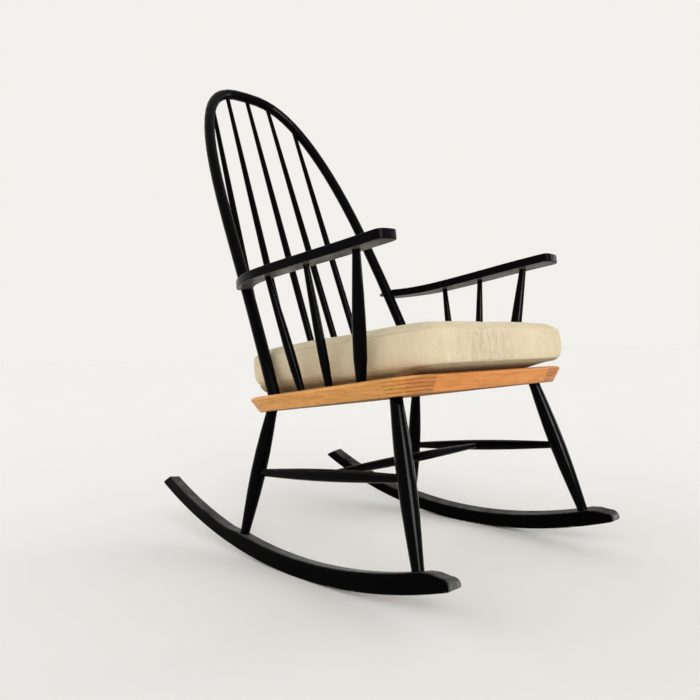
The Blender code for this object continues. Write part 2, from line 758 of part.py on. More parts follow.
def cushion_levels():
    """Inset and height of each ring: bulged lower panel, border between its seams, crowned top."""
    draw = CUSHION_SEAM_DRAW
    levels = [(CUSHION_MIDDLE_INSET, GAP)]
    for i in range(CUSHION_BASE_STEPS):
        turn = math.pi / 2 * i / CUSHION_BASE_STEPS
        inset = CUSHION_BASE_INSET + (draw - CUSHION_BASE_INSET) * math.sin(turn)
        levels.append((inset, GAP + (CUSHION_LOWER_SEAM - GAP) * (1 - math.cos(turn))))
    lip = CUSHION_SEAM_LIP / CUSHION_BORDER
    for part in (0.0, lip, 0.25, 0.5, 0.75, 1 - lip, 1.0):
        full = math.sqrt(abs(math.sin(math.pi * part)))
        levels.append((draw * (1 - full), CUSHION_LOWER_SEAM + CUSHION_BORDER * part))
    for i in range(1, CUSHION_CROWN_STEPS + 1):
        part = i / CUSHION_CROWN_STEPS
        inset = draw + (CUSHION_CROWN_INSET - draw) * part**CUSHION_CROWN_SPREAD
        levels.append((inset, CUSHION_TOP_SEAM + CUSHION_CROWN * part**CUSHION_CROWN_FULLNESS))
    return levels


def cushion(name):
    """A loose box cushion."""
    bm = bmesh.new()
    loft(bm, [cushion_ring(*level) for level in cushion_levels()])
    return add_object(bm, name, material(name, (0.610, 0.485, 0.305), 0.90))


def strap(name, place):
    bm = bmesh.new()
    half = SIDE_EDGE + STRAP_LAP
    low = (-half, place - STRAP_WIDTH / 2, -STRAP_THICK - GAP)
    high = (half, place + STRAP_WIDTH / 2, -GAP)
    block(bm, low, high, SEAT)
    return add_object(bm, name, material(name, (0.060, 0.042, 0.028), 0.80), smooth=False)


# Build
rails = {label: side_rail("seat_rail_" + label, sign(label)) for label in SIDES}
front_rail = cross_rail("seat_rail_front", -SEAT_FRONT - PAST, FRONT_EDGE)
rear_rail = cross_rail("seat_rail_rear", REAR_EDGE, SEAT_REAR + PAST)
hoop = bow("bow")
hoop_holes = bmesh.new()
front_holes = bmesh.new()
stretcher_middles = []

for label in SIDES:
    side = sign(label)
    runner = rocker("rocker_" + label, side)
    runner_holes = bmesh.new()
    rail_holes = bmesh.new()
    axes = []
    for end_name, foot_angle, inset, along, foot_radius, swell, rung in (
        (
            "front",
            FRONT_FOOT_ANGLE,
            FRONT_LEG_INSET,
            FRONT_LEG_SETBACK - SEAT_FRONT,
            FRONT_FOOT_RADIUS,
            FRONT_LEG_SWELL,
            FRONT_STRETCHER_UP,
        ),
        (
            "rear",
            REAR_FOOT_ANGLE,
            REAR_LEG_INSET,
            SEAT_REAR - REAR_LEG_SETBACK,
            REAR_FOOT_RADIUS,
            REAR_LEG_SWELL,
            REAR_STRETCHER_UP,
        ),
    ):
        foot_y, foot_z = rocker_point(foot_angle, rocker_depth(foot_angle))
        foot = Vector((side * ROCKER_TRACK / 2, foot_y, foot_z))
        head = on_seat(side * (HALF - inset), along, -SEAT_THICK)
        start = toward(foot, head, -LEG_FOOT_DEPTH)
        end = toward(head, foot, -LEG_TOP_DEPTH)
        shape = (
            (LEG_FOOT_DEPTH + LEG_PLAIN, LEG_TOP_DEPTH + LEG_PLAIN),
            (foot_radius, LEG_TOP_RADIUS),
            swell,
            LEG_PEAK,
        )
        name = "leg_" + end_name + "_" + label
        leg = turned(name, start, end, *shape, black(name))
        bore(runner_holes, start, end, foot_radius, LEG_FOOT_DEPTH + PAST)
        bore(rail_holes, end, start, LEG_TOP_RADIUS, LEG_TOP_DEPTH + PAST)
        if end_name == "front":
            bore(front_holes, end, start, LEG_TOP_RADIUS, LEG_TOP_DEPTH + PAST)
        axes.append((leg, toward(foot, head, rung)))
    carve(runner, runner_holes, "rocker_sockets_" + label)

    (front_leg, ahead), (rear_leg, behind) = axes
    start = toward(ahead, behind, STRETCHER_STOP)
    end = toward(behind, ahead, STRETCHER_STOP)
    name = "side_stretcher_" + label
    rod = turned(
        name,
        start,
        end,
        (STRETCHER_PLAIN, STRETCHER_PLAIN),
        (STRETCHER_END_RADIUS, STRETCHER_END_RADIUS),
        STRETCHER_SWELL,
        ROD_PEAK,
        black(name),
    )
    for leg, near, far in ((front_leg, start, end), (rear_leg, end, start)):
        holes = bmesh.new()
        bore(holes, near, far, STRETCHER_END_RADIUS, STRETCHER_PLAIN + PAST)
        carve(leg, holes, leg.name + "_socket")
    stretcher_middles.append((rod, start.lerp(end, 0.5)))

    board = arm("arm_" + label, side)
    arm_holes = bmesh.new()
    for i, post_name in enumerate(POST_NAMES):
        foot = on_seat(side * (HALF - POST_INSET[i]), POST_FOOT_AT[i])
        head = on_arm(side * arm_x(POST_TOP_AT[i]), POST_TOP_AT[i])
        start = toward(foot, head, -POST_FOOT_DEPTH)
        end = toward(head, foot, -POST_TOP_DEPTH)
        name = "arm_post_" + post_name + "_" + label
        turned(
            name,
            start,
            end,
            (POST_FOOT_DEPTH + POST_PLAIN, POST_TOP_DEPTH + POST_PLAIN),
            (POST_FOOT_RADIUS[i], POST_TOP_RADIUS[i]),
            POST_SWELL[i],
            POST_PEAK,
            black(name),
        )
        bore(rail_holes, start, end, POST_FOOT_RADIUS[i], POST_FOOT_DEPTH + PAST)
        bore(arm_holes, end, start, POST_TOP_RADIUS[i], POST_TOP_DEPTH + PAST)
    carve(board, arm_holes, "arm_sockets_" + label)

    under = bow_at_arm(-PAST)
    over = bow_at_arm(ARM_THICK + PAST)
    notch = bmesh.new()
    bore(
        notch,
        Vector((side * under.x, under.y, under.z)),
        Vector((side * over.x, over.y, over.z)),
        BOW_RADIUS,
        (over - under).length,
    )
    carve(board, notch, "arm_notch_" + label)
    arm_screw("arm_screw_" + label, side)
    screw_end, screw_seat = screw_line(side)
    screw_hole = bmesh.new()
    bore(screw_hole, screw_end, screw_seat, SCREW_RADIUS, SCREW_REACH)
    carve(board, screw_hole, "arm_screw_hole_" + label)
    bore(hoop_holes, screw_end, screw_seat, SCREW_RADIUS, SCREW_REACH + 2 * PAST)
    spot_face = bmesh.new()
    spot = toward(screw_seat, screw_end, GAP - END_GAP)
    bore(spot_face, spot, toward(screw_seat, screw_end, -PAST), SCREW_COLLAR_RADIUS, PAST)
    carve(hoop, spot_face, "bow_spot_face_" + label)

    bow_start = Vector((side * BOW_START.x, BOW_START.y, BOW_START.z))
    bow_rise = Vector((side * BOW_FOOT.x, BOW_FOOT.y, BOW_FOOT.z))
    bore(rail_holes, bow_start, bow_rise, BOW_RADIUS, BOW_DEPTH + PAST)
    for place in strap_places():
        edge = STRAP_WIDTH / 2 + GAP
        x0, x1 = sorted((side * (SIDE_EDGE - PAST), side * (SIDE_EDGE + STRAP_LAP + GAP)))
        low = (x0, place - edge, -STRAP_THICK - 2 * GAP)
        block(rail_holes, low, (x1, place + edge, PAST), SEAT)
    carve(rails[label], rail_holes, "rail_sockets_" + label)

carve(front_rail, front_holes, "front_rail_sockets")
(left_rod, left_middle), (right_rod, right_middle) = stretcher_middles
start = toward(left_middle, right_middle, CROSS_STOP)
end = toward(right_middle, left_middle, CROSS_STOP)
turned(
    "cross_stretcher",
    start,
    end,
    (CROSS_PLAIN, CROSS_PLAIN),
    (CROSS_END_RADIUS, CROSS_END_RADIUS),
    CROSS_SWELL,
    ROD_PEAK,
    black("cross_stretcher"),
)
for rod, near, far in ((left_rod, start, end), (right_rod, end, start)):
    holes = bmesh.new()
    bore(holes, near, far, CROSS_END_RADIUS, CROSS_PLAIN + PAST)
    carve(rod, holes, rod.name + "_socket")

rear_holes = bmesh.new()
for i, (foot_x, top_x) in enumerate(zip(SPINDLE_FOOT_X, SPINDLE_TOP_X)):
    foot = on_seat(foot_x, SEAT_REAR - SPINDLE_SETBACK)
    head = hoop_at(top_x)
    start = toward(foot, head, -SPINDLE_DEPTH)
    end = toward(head, foot, SPINDLE_STOP)
    name = "back_spindle_" + str(i + 1)
    turned(
        name,
        start,
        end,
        (SPINDLE_DEPTH + POST_PLAIN, SPINDLE_TOP_PLAIN),
        (SPINDLE_FOOT_RADIUS, SPINDLE_TOP_RADIUS),
        SPINDLE_SWELL,
        SPINDLE_PEAK,
        black(name),
    )
    bore(rear_holes, start, end, SPINDLE_FOOT_RADIUS, SPINDLE_DEPTH + PAST)
    bore(hoop_holes, end, start, SPINDLE_TOP_RADIUS, SPINDLE_TOP_PLAIN)
carve(rear_rail, rear_holes, "rear_rail_sockets")
carve(hoop, hoop_holes, "bow_sockets")

for i, place in enumerate(strap_places()):
    strap("seat_strap_" + str(i + 1), place)
cushion("seat_cushion")

# Placing: floor under the rockers, middle of the depth over the origin
graph = bpy.context.evaluated_depsgraph_get()
corners = []
for piece in bpy.context.scene.objects:
    if not piece.hide_render:
        corners += [Vector(corner) for corner in piece.evaluated_get(graph).bound_box]
depth = [corner.y for corner in corners]
shift = Vector((0.0, -(min(depth) + max(depth)) / 2, -min(corner.z for corner in corners)))
for piece in bpy.context.scene.objects:
    piece.location = shift
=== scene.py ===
"""Looks of a spindle rocking chair: black lacquer, oiled wood, a linen cushion, webbing and a pale studio.

The chair faces -Y and stands on Z = 0. All sizes are in metres.
"""

from __future__ import annotations

import json
import logging
import math
from dataclasses import asdict, dataclass, replace
from enum import Enum
from functools import reduce
from typing import Sequence

import bmesh
import bpy
from bpy.types import Material, Mesh, Node, NodeInputs, NodeOutputs, NodeSocket, NodeTree, Object
from mathutils import Matrix, Vector, noise

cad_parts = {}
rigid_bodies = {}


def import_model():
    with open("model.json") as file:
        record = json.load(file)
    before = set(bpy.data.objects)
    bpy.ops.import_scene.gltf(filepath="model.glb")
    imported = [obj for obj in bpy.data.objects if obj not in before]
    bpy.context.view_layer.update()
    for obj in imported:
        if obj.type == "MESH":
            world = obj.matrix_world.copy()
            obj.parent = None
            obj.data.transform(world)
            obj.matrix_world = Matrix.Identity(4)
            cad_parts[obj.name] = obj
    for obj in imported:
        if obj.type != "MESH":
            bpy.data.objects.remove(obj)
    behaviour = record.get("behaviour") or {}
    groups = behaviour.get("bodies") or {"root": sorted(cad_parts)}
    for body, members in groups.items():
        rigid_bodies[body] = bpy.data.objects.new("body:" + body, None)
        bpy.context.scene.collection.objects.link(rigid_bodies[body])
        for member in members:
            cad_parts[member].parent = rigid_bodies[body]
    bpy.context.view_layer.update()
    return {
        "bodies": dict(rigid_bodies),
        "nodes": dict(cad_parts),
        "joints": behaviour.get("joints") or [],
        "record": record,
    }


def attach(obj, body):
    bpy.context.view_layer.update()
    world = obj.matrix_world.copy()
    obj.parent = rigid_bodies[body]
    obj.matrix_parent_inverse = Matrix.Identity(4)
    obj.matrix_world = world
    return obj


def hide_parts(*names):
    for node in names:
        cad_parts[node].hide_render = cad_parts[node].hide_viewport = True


LOG = logging.getLogger("rocking_chair")
Pair = tuple[float, float]
Triple = tuple[float, float, float]
Colour = Triple

# Sockets of a colour Mix node: its share, its two colours and its result
MIX_INPUTS = (0, 6, 7)
MIX_RESULT = 2

# Shares of the cushion's cover that differ by less are the same, so one beyond RIM is on a panel or the rim
SAME = 1e-4
RIM = 1 - SAME


class Side(Enum):
    """The two sides of the chair and the sign of X on each."""

    LEFT = 1
    RIGHT = -1


class Run(Enum):
    """The axis along which the grain of a piece runs."""

    ACROSS = 0
    ALONG = 1
    UPRIGHT = 2

    def stretch(self, fine: float, coarse: float) -> tuple[float, ...]:
        """The scale of a pattern that is fine across the grain and coarse along it."""
        return tuple(coarse if axis == self.value else fine for axis in range(3))


def ease(part: float) -> float:
    """A smooth step of a share that is held between 0 and 1."""
    part = min(max(part, 0.0), 1.0)
    return part * part * (3.0 - 2.0 * part)


def hump(value: float, centre: float, spread: float) -> float:
    """A bell that is 1 at its centre and falls away over its spread."""
    return math.exp(-(((value - centre) / spread) ** 2))


def bearing(turn: float, height: float) -> Vector:
    """The direction at a turn from +X and a height above the floor, both in degrees."""
    flat = Matrix.Rotation(math.radians(-height), 3, "Y") @ Vector((1.0, 0.0, 0.0))
    return Matrix.Rotation(math.radians(turn), 3, "Z") @ flat


@dataclass
class Graph:
    """The node tree of a material, world or group, with short calls for the nodes that it needs."""

    tree: NodeTree

    def node(self, kind: str, inputs: dict[str | int, object] | None = None, **values: object) -> Node:
        """Adds a node.

        Args:
            kind: the node's type name.
            inputs: what its inputs take, by name or number.
            values: attributes to set on it.

        Returns:
            The node.
        """
        made = self.tree.nodes.new(kind)
        for key, value in values.items():
            setattr(made, key, value)
        for key, source in (inputs or {}).items():
            self.feed(made.inputs[key], source)
        return made

    def feed(self, socket: NodeSocket, source: object) -> None:
        """Links a socket to a source, or sets it where the source is a plain value.

        Args:
            socket: the input that is fed.
            source: an output socket, a number or a tuple.
        """
        if isinstance(source, NodeSocket):
            self.tree.links.new(source, socket)
        else:
            socket.default_value = source

    def math(self, operation: str, first: object, second: object = 0.0, clamp: bool = False) -> NodeSocket:
        """The result of a Math node on two values, held between 0 and 1 where clamp is set."""
        inputs = {0: first, 1: second}
        return self.node("ShaderNodeMath", inputs, operation=operation, use_clamp=clamp).outputs[0]

    def times(self, first: object, second: object) -> NodeSocket:
        """The product of two values."""
        return self.math("MULTIPLY", first, second)

    def total(self, *values: object) -> NodeSocket:
        """The sum of several values."""
        return reduce(lambda first, second: self.math("ADD", first, second), values)

    def span(
        self, value: object, low: float, high: float, start: float = 0.0, end: float = 1.0
    ) -> NodeSocket:
        """Maps a value smoothly, from start where it is low to end where it is high, and holds both ends."""
        inputs = {"Value": value, "From Min": low, "From Max": high, "To Min": start, "To Max": end}
        return self.node("ShaderNodeMapRange", inputs, interpolation_type="SMOOTHSTEP").outputs["Result"]

    def blend(self, part: object, first: object, second: object) -> NodeSocket:
        """Mixes two colours.

        Args:
            part: the share of the second colour.
            first: the first colour.
            second: the second colour.

        Returns:
            The mixed colour.
        """
        given = (part, first, second)
        sources = [(*source, 1.0) if isinstance(source, tuple) else source for source in given]
        made = self.node("ShaderNodeMix", dict(zip(MIX_INPUTS, sources)), data_type="RGBA")
        return made.outputs[MIX_RESULT]

    def noise(
        self, vector: object, scale: float = 1.0, detail: float = 2.0, twist: float = 0.0
    ) -> NodeSocket:
        """Soft noise, read at a vector, with its fineness, its finer layers and its distortion."""
        inputs = {"Vector": vector, "Scale": scale, "Detail": detail, "Distortion": twist}
        return self.node("ShaderNodeTexNoise", inputs).outputs[0]

    def own(self, kind: str) -> NodeSocket:
        """The piece's own coordinates of a kind: Object or Normal."""
        return self.node("ShaderNodeTexCoord").outputs[kind]

    def layer(self, name: str) -> NodeSocket:
        """The value that a piece stores for each point under a name."""
        return self.node("ShaderNodeAttribute", attribute_name=name).outputs["Fac"]

    def axes(self, vector: object) -> NodeOutputs:
        """The X, Y and Z of a vector."""
        return self.node("ShaderNodeSeparateXYZ", {0: vector}).outputs

    def place(self, scale: Sequence[float], vector: object = None) -> NodeSocket:
        """Scales a vector along its axes, or the Object coordinates where none is given."""
        source = self.own("Object") if vector is None else vector
        return self.node("ShaderNodeMapping", {"Vector": source, "Scale": scale}).outputs["Vector"]

    def evenly(self, scale: float) -> NodeSocket:
        """The Object coordinates, scaled alike along all axes."""
        return self.place((scale, scale, scale))

    def within(self, frame: Matrix) -> NodeSocket:
        """Reads the Object coordinates in a frame of the chair.

        Args:
            frame: where the frame lies.

        Returns:
            The coordinates in the frame.
        """
        spot, turn, _ = frame.decompose()
        inputs = {"Vector": self.own("Object"), "Location": spot, "Rotation": turn.to_euler()}
        return self.node("ShaderNodeMapping", inputs, vector_type="TEXTURE").outputs["Vector"]

    def group(self, tree: NodeTree, **values: object) -> NodeOutputs:
        """The outputs of a shared group, fed by the names of its inputs with underscores for spaces."""
        inputs = {key.replace("_", " "): value for key, value in values.items()}
        return self.node("ShaderNodeGroup", inputs, node_tree=tree).outputs

    def bump(self, height: object, strength: float, distance: float, normal: object = None) -> NodeSocket:
        """Adds a Bump node.

        Args:
            height: the height that it reads.
            strength: its strength.
            distance: the height of 1.
            normal: the normal that it starts from; the surface's own where none is given.

        Returns:
            The normal.
        """
        inputs = {"Height": height, "Strength": strength, "Distance": distance}
        if normal is not None:
            inputs["Normal"] = normal
        return self.node("ShaderNodeBump", inputs).outputs["Normal"]


@dataclass
class Effects:
    """The node groups that several finishes share, and the ranges of noise that they pick out."""

    line_range: Pair = (0.42, 0.66)
    pore_range: Pair = (0.56, 0.70)
    patch_shares: Pair = (0.7, 0.3)
    patch_edge: float = 0.07
    upward: Pair = (0.55, 0.98)
    film_range: Pair = (0.10, 0.75)
    slub_fine: float = 420.0
    slub_coarse: Triple = (18.0, 18.0, 24.0)
    slub_range: Pair = (0.35, 0.75)
    glue_line: Pair = (0.03, 0.09)

    def __post_init__(self) -> None:
        """Builds every group once."""
        self.grain = self._grain()
        self.scuffs = self._scuffs()
        self.dust = self._dust()
        self.weave = self._weave()
        self.fingers = self._fingers()

    @staticmethod
    def _open(
        name: str, inputs: Sequence[str], outputs: Sequence[str]
    ) -> tuple[Graph, NodeOutputs, NodeInputs]:
        """Starts a group.

        Args:
            name: the group's name.
            inputs: the names of its inputs, of which Vector and Normal are vectors.
            outputs: the names of its value outputs.

        Returns:
            Its graph, what goes into it and what comes out of it.
        """
        tree = bpy.data.node_groups.new(name, "ShaderNodeTree")
        for label in inputs:
            kind = "NodeSocketVector" if label in ("Vector", "Normal") else "NodeSocketFloat"
            tree.interface.new_socket(label, in_out="INPUT", socket_type=kind)
        for label in outputs:
            tree.interface.new_socket(label, in_out="OUTPUT", socket_type="NodeSocketFloat")
        graph = Graph(tree)
        return graph, graph.node("NodeGroupInput").outputs, graph.node("NodeGroupOutput").inputs

    def _grain(self) -> NodeTree:
        """Wood grain in a vector that is coarse along it: broad tone, growth lines and short dark pores.

        Returns:
            The group.
        """
        g, given, result = self._open("wood_grain", ["Vector"], ["Tone", "Lines", "Pores"])
        lines = g.noise(given["Vector"], scale=2.8, twist=0.3)
        pores = g.noise(given["Vector"], scale=6.5)
        g.feed(result["Tone"], g.noise(given["Vector"], detail=3.0, twist=0.6))
        g.feed(result["Lines"], g.span(lines, *self.line_range))
        g.feed(result["Pores"], g.span(pores, *self.pore_range))
        return g.tree

    def _scuffs(self) -> NodeTree:
        """Small rubbed patches that cover a share of the surface.

        Returns:
            The group.
        """
        g, given, result = self._open("rubbed_patches", ["Vector", "Cover"], ["Mask"])
        patches = g.noise(given["Vector"], detail=4.0, twist=0.4)
        breaks = g.noise(given["Vector"], scale=5.0, detail=3.0)
        both = g.total(*map(g.times, (patches, breaks), self.patch_shares))
        over = g.math("SUBTRACT", both, g.math("SUBTRACT", 1.0, given["Cover"]))
        g.feed(result["Mask"], g.span(over, 0.0, self.patch_edge))
        return g.tree

    def _dust(self) -> NodeTree:
        """A light uneven film on faces that point up.

        Returns:
            The group.
        """
        g, given, result = self._open("settled_dust", ["Vector", "Normal"], ["Mask"])
        up = g.span(g.axes(given["Normal"])["Z"], *self.upward)
        film = g.span(g.noise(given["Vector"], detail=5.0), *self.film_range)
        g.feed(result["Mask"], g.times(up, film))
        return g.tree

    def _weave(self) -> NodeTree:
        """A plain weave of threads along the axes, with thicker slub threads here and there.

        Returns:
            The group.
        """
        g, given, result = self._open("plain_weave", ["Vector", "Pitch"], ["Height", "Slubs"])
        turns = g.math("DIVIDE", math.pi, given["Pitch"])
        parts = g.axes(given["Vector"])
        threads = [g.math("SINE", g.times(parts[axis], turns)) for axis in "XYZ"]
        crossings = [g.times(threads[i], threads[(i + 1) % 3]) for i in range(3)]
        slubs = []
        for run, coarse in zip(Run, self.slub_coarse):
            placed = g.place(run.stretch(self.slub_fine, coarse), given["Vector"])
            slubs.append(g.span(g.noise(placed, detail=1.0), *self.slub_range))
        g.feed(result["Height"], g.total(*crossings))
        g.feed(result["Slubs"], g.times(g.total(*slubs), 1 / len(slubs)))
        return g.tree

    def _fingers(self) -> NodeTree:
        """The glue lines of the finger joints at the seat's corners, in the seat's own frame.

        Returns:
            The group.
        """
        inputs = ["Vector", "Layer", "Side Edge", "Front Edge", "Rear Edge"]
        g, given, result = self._open("finger_joint_lines", inputs, ["Lines", "Corner"])
        parts = g.axes(given["Vector"])
        outside = g.math("GREATER_THAN", g.math("ABSOLUTE", parts["X"]), given["Side Edge"])
        ahead = g.math("LESS_THAN", parts["Y"], given["Front Edge"])
        behind = g.math("GREATER_THAN", parts["Y"], given["Rear Edge"])
        corner = g.times(outside, g.math("MAXIMUM", ahead, behind))
        layers = g.math("DIVIDE", parts["Z"], given["Layer"])
        away = g.math("ABSOLUTE", g.math("SUBTRACT", layers, g.math("ROUND", layers)))
        g.feed(result["Lines"], g.times(corner, g.span(away, *self.glue_line, 1.0, 0.0)))
        g.feed(result["Corner"], corner)
        return g.tree


class Paint(Graph):
    """The graph of a new material, which lays one colour over another."""

    def __init__(self, material: Material, effects: Effects, colour: Colour) -> None:
        """Opens the material's nodes.

        Args:
            material: the material.
            effects: the shared groups.
            colour: the colour that lies lowest.
        """
        material.use_nodes = True
        super().__init__(material.node_tree)
        self.effects = effects
        self.shader = self.tree.nodes["Principled BSDF"].inputs
        self.tone: object = colour

    def give(self, name: str, source: object) -> None:
        """Feeds an input of the shader."""
        self.feed(self.shader[name], source)

    def coat(self, colour: Colour, *shares: object) -> None:
        """Lays a colour over what is there.

        Args:
            colour: the colour.
            shares: masks and numbers whose product is its share.
        """
        self.tone = self.blend(reduce(self.times, shares), self.tone, colour)
        self.give("Base Color", self.tone)


class Finish:
    """What a piece is coated with or made of: each kind has a lowest colour and its own way of painting."""

    colour: Colour

    def material(self, name: str, effects: Effects) -> Material:
        """Makes the finish.

        Args:
            name: the material's name.
            effects: the shared groups.

        Returns:
            The material.
        """
        made = bpy.data.materials.new(name)
        self.paint(Paint(made, effects, self.colour))
        return made

    def paint(self, g: Paint) -> None:
        """Paints a new material, as each kind of finish does in its own way."""
        raise NotImplementedError


@dataclass(frozen=True)
class SeatPlane:
    """The seat's own frame: X across, Y to the rear along the seat, Z square to it from its top."""

    ahead: float = 0.0905
    height: float = 0.3265
    tilt: float = math.radians(4.3)
    arc_ahead: float = 0.0985
    arc_radius: float = 1.080
    lean: float = math.radians(2.15)
    shift: Triple = (0.0, 0.0272441, -0.0001042)

    def matrix(self) -> Matrix:
        """Places the seat's frame in the standing chair.

        Returns:
            The placing.
        """
        pivot = Matrix.Translation((0.0, -self.arc_ahead, self.arc_radius))
        rolled = pivot @ Matrix.Rotation(-self.lean, 4, "X") @ pivot.inverted()
        upright = Matrix.Translation((0.0, -self.ahead, self.height)) @ Matrix.Rotation(-self.tilt, 4, "X")
        return Matrix.Translation(self.shift) @ rolled @ upright


@dataclass(frozen=True)
class Lacquer(Finish):
    """Black lacquer over wood: soft gloss, faint brush streaks, rubbed spots, a little dust and, where set, a
    painted grey reflection on faces that point down.
    """

    colour: Colour = (0.0004, 0.0004, 0.0005)
    faded: Colour = (0.0013, 0.0012, 0.0012)
    faded_share: float = 0.8
    rubbed: Colour = (0.034, 0.029, 0.024)
    rubbed_share: float = 0.30
    rubbed_cover: float = 0.33
    rubbed_scale: float = 38.0
    dust: Colour = (0.050, 0.049, 0.047)
    dust_share: float = 0.15
    dust_scale: float = 26.0
    # Painted reflection: a grey laid on faces that point down, standing in for the floor's reflection on the
    # undersides
    painted_reflection: Colour = (0.115, 0.113, 0.108)
    painted_reflection_share: float = 0.0
    painted_reflection_least: float = 0.55
    painted_reflection_scale: float = 45.0
    painted_reflection_range: Pair = (0.30, 0.65)
    downward: Pair = (-0.95, -0.70)
    gloss: Pair = (0.09, 0.16)
    gloss_scale: float = 14.0
    gloss_range: Pair = (0.25, 0.75)
    dulling: Pair = (0.12, 0.10)
    specular: float = 0.032
    run: Run = Run.UPRIGHT
    streaks: Pair = (150.0, 9.0)
    skin_scale: float = 260.0
    skin_depth: float = 0.5
    relief: Pair = (0.03, 0.0006)
    rounding: float = 0.0015
    rounding_samples: int = 12

    def paint(self, g: Paint) -> None:
        """Paints streaks, rubbed spots, dust and, where set, a painted reflection on downward faces, over
        black.

        Args:
            g: the material's graph.
        """
        normal = g.own("Normal")
        streaks = g.group(g.effects.grain, Vector=g.place(self.run.stretch(*self.streaks)))
        spots = g.group(g.effects.scuffs, Vector=g.evenly(self.rubbed_scale), Cover=self.rubbed_cover)["Mask"]
        film = g.group(g.effects.dust, Vector=g.evenly(self.dust_scale), Normal=normal)["Mask"]
        g.coat(self.faded, streaks["Tone"], self.faded_share)
        g.coat(self.rubbed, spots, self.rubbed_share)
        g.coat(self.dust, film, self.dust_share)
        # Painted reflection of the floor on downward faces, broken up by noise
        if self.painted_reflection_share > 0.0:
            below = g.span(g.axes(normal)["Z"], *self.downward, self.painted_reflection_share, 0.0)
            patches = g.noise(g.evenly(self.painted_reflection_scale), detail=4.0)
            g.coat(self.painted_reflection, below, g.span(patches, *self.painted_reflection_range, self.painted_reflection_least, 1.0))
        dull = g.total(*map(g.times, (spots, film), self.dulling))
        cloud = g.span(g.noise(g.evenly(self.gloss_scale), detail=4.0), *self.gloss_range, *self.gloss)
        g.give("Roughness", g.math("ADD", cloud, dull, clamp=True))
        g.give("Specular IOR Level", self.specular)
        rounded = g.node("ShaderNodeBevel", {"Radius": self.rounding}, samples=self.rounding_samples)
        skin = g.math("SUBTRACT", g.noise(g.evenly(self.skin_scale)), streaks["Pores"])
        height = g.times(skin, self.skin_depth)
        g.give("Normal", g.bump(height, *self.relief, rounded.outputs["Normal"]))


@dataclass(frozen=True)
class RunnerLacquer(Lacquer):
    """The rockers' lacquer, worn through along the running edge, with a painted grey highlight on the forward
    faces of the front tips and a grey film on the top faces that is partly dust and partly painted
    reflection.
    """

    run: Run = Run.ALONG
    specular: float = 0.016
    # Partly real dust and partly painted reflection: the grey film on the upward faces also stands in for the
    # pale room's reflection on the top faces
    dust: Colour = (0.135, 0.133, 0.128)
    dust_share: float = 0.60
    gloss: Pair = (0.14, 0.24)
    rounding: float = 0.0008
    bare: Colour = (0.330, 0.270, 0.205)
    bare_share: float = 0.75
    arc_middle: Pair = (-0.0713, 1.080)
    wear_reach: Pair = (1.0770, 1.0796)
    wear_scale: Triple = (75.0, 26.0, 75.0)
    wear_cover: float = 0.46
    tip: Pair = (-0.4180, -0.4070)
    # Painted highlight: a grey on the forward faces of the nose, standing in for the gloss highlight on the
    # rounded front tips
    painted_tip_highlight: Colour = (0.190, 0.187, 0.180)
    painted_tip_highlight_share: float = 0.85
    painted_tip_highlight_least: float = 0.45
    painted_tip_highlight_scale: Triple = (420.0, 90.0, 90.0)
    painted_tip_highlight_range: Pair = (0.30, 0.65)
    forward: Pair = (-0.90, -0.30)

    def paint(self, g: Paint) -> None:
        """Paints a grey highlight on the tips and wears the running edge, over the lacquer.

        Args:
            g: the material's graph.
        """
        super().paint(g)
        # Painted highlight on the forward faces of the front tips, broken up by noise
        tip = g.span(g.axes(g.own("Object"))["Y"], *self.tip, 1.0, 0.0)
        faces = g.span(g.axes(g.own("Normal"))["Y"], *self.forward, self.painted_tip_highlight_share, 0.0)
        brush = g.noise(g.place(self.painted_tip_highlight_scale), detail=3.0)
        g.coat(self.painted_tip_highlight, tip, faces, g.span(brush, *self.painted_tip_highlight_range, self.painted_tip_highlight_least, 1.0))
        beside = g.place((0.0, 1.0, 1.0), g.within(Matrix.Translation((0.0, *self.arc_middle))))
        reach = g.node("ShaderNodeVectorMath", {0: beside}, operation="LENGTH").outputs["Value"]
        edge = g.span(reach, *self.wear_reach)
        worn = g.group(g.effects.scuffs, Vector=g.place(self.wear_scale), Cover=self.wear_cover)["Mask"]
        g.coat(self.bare, edge, worn, self.bare_share)


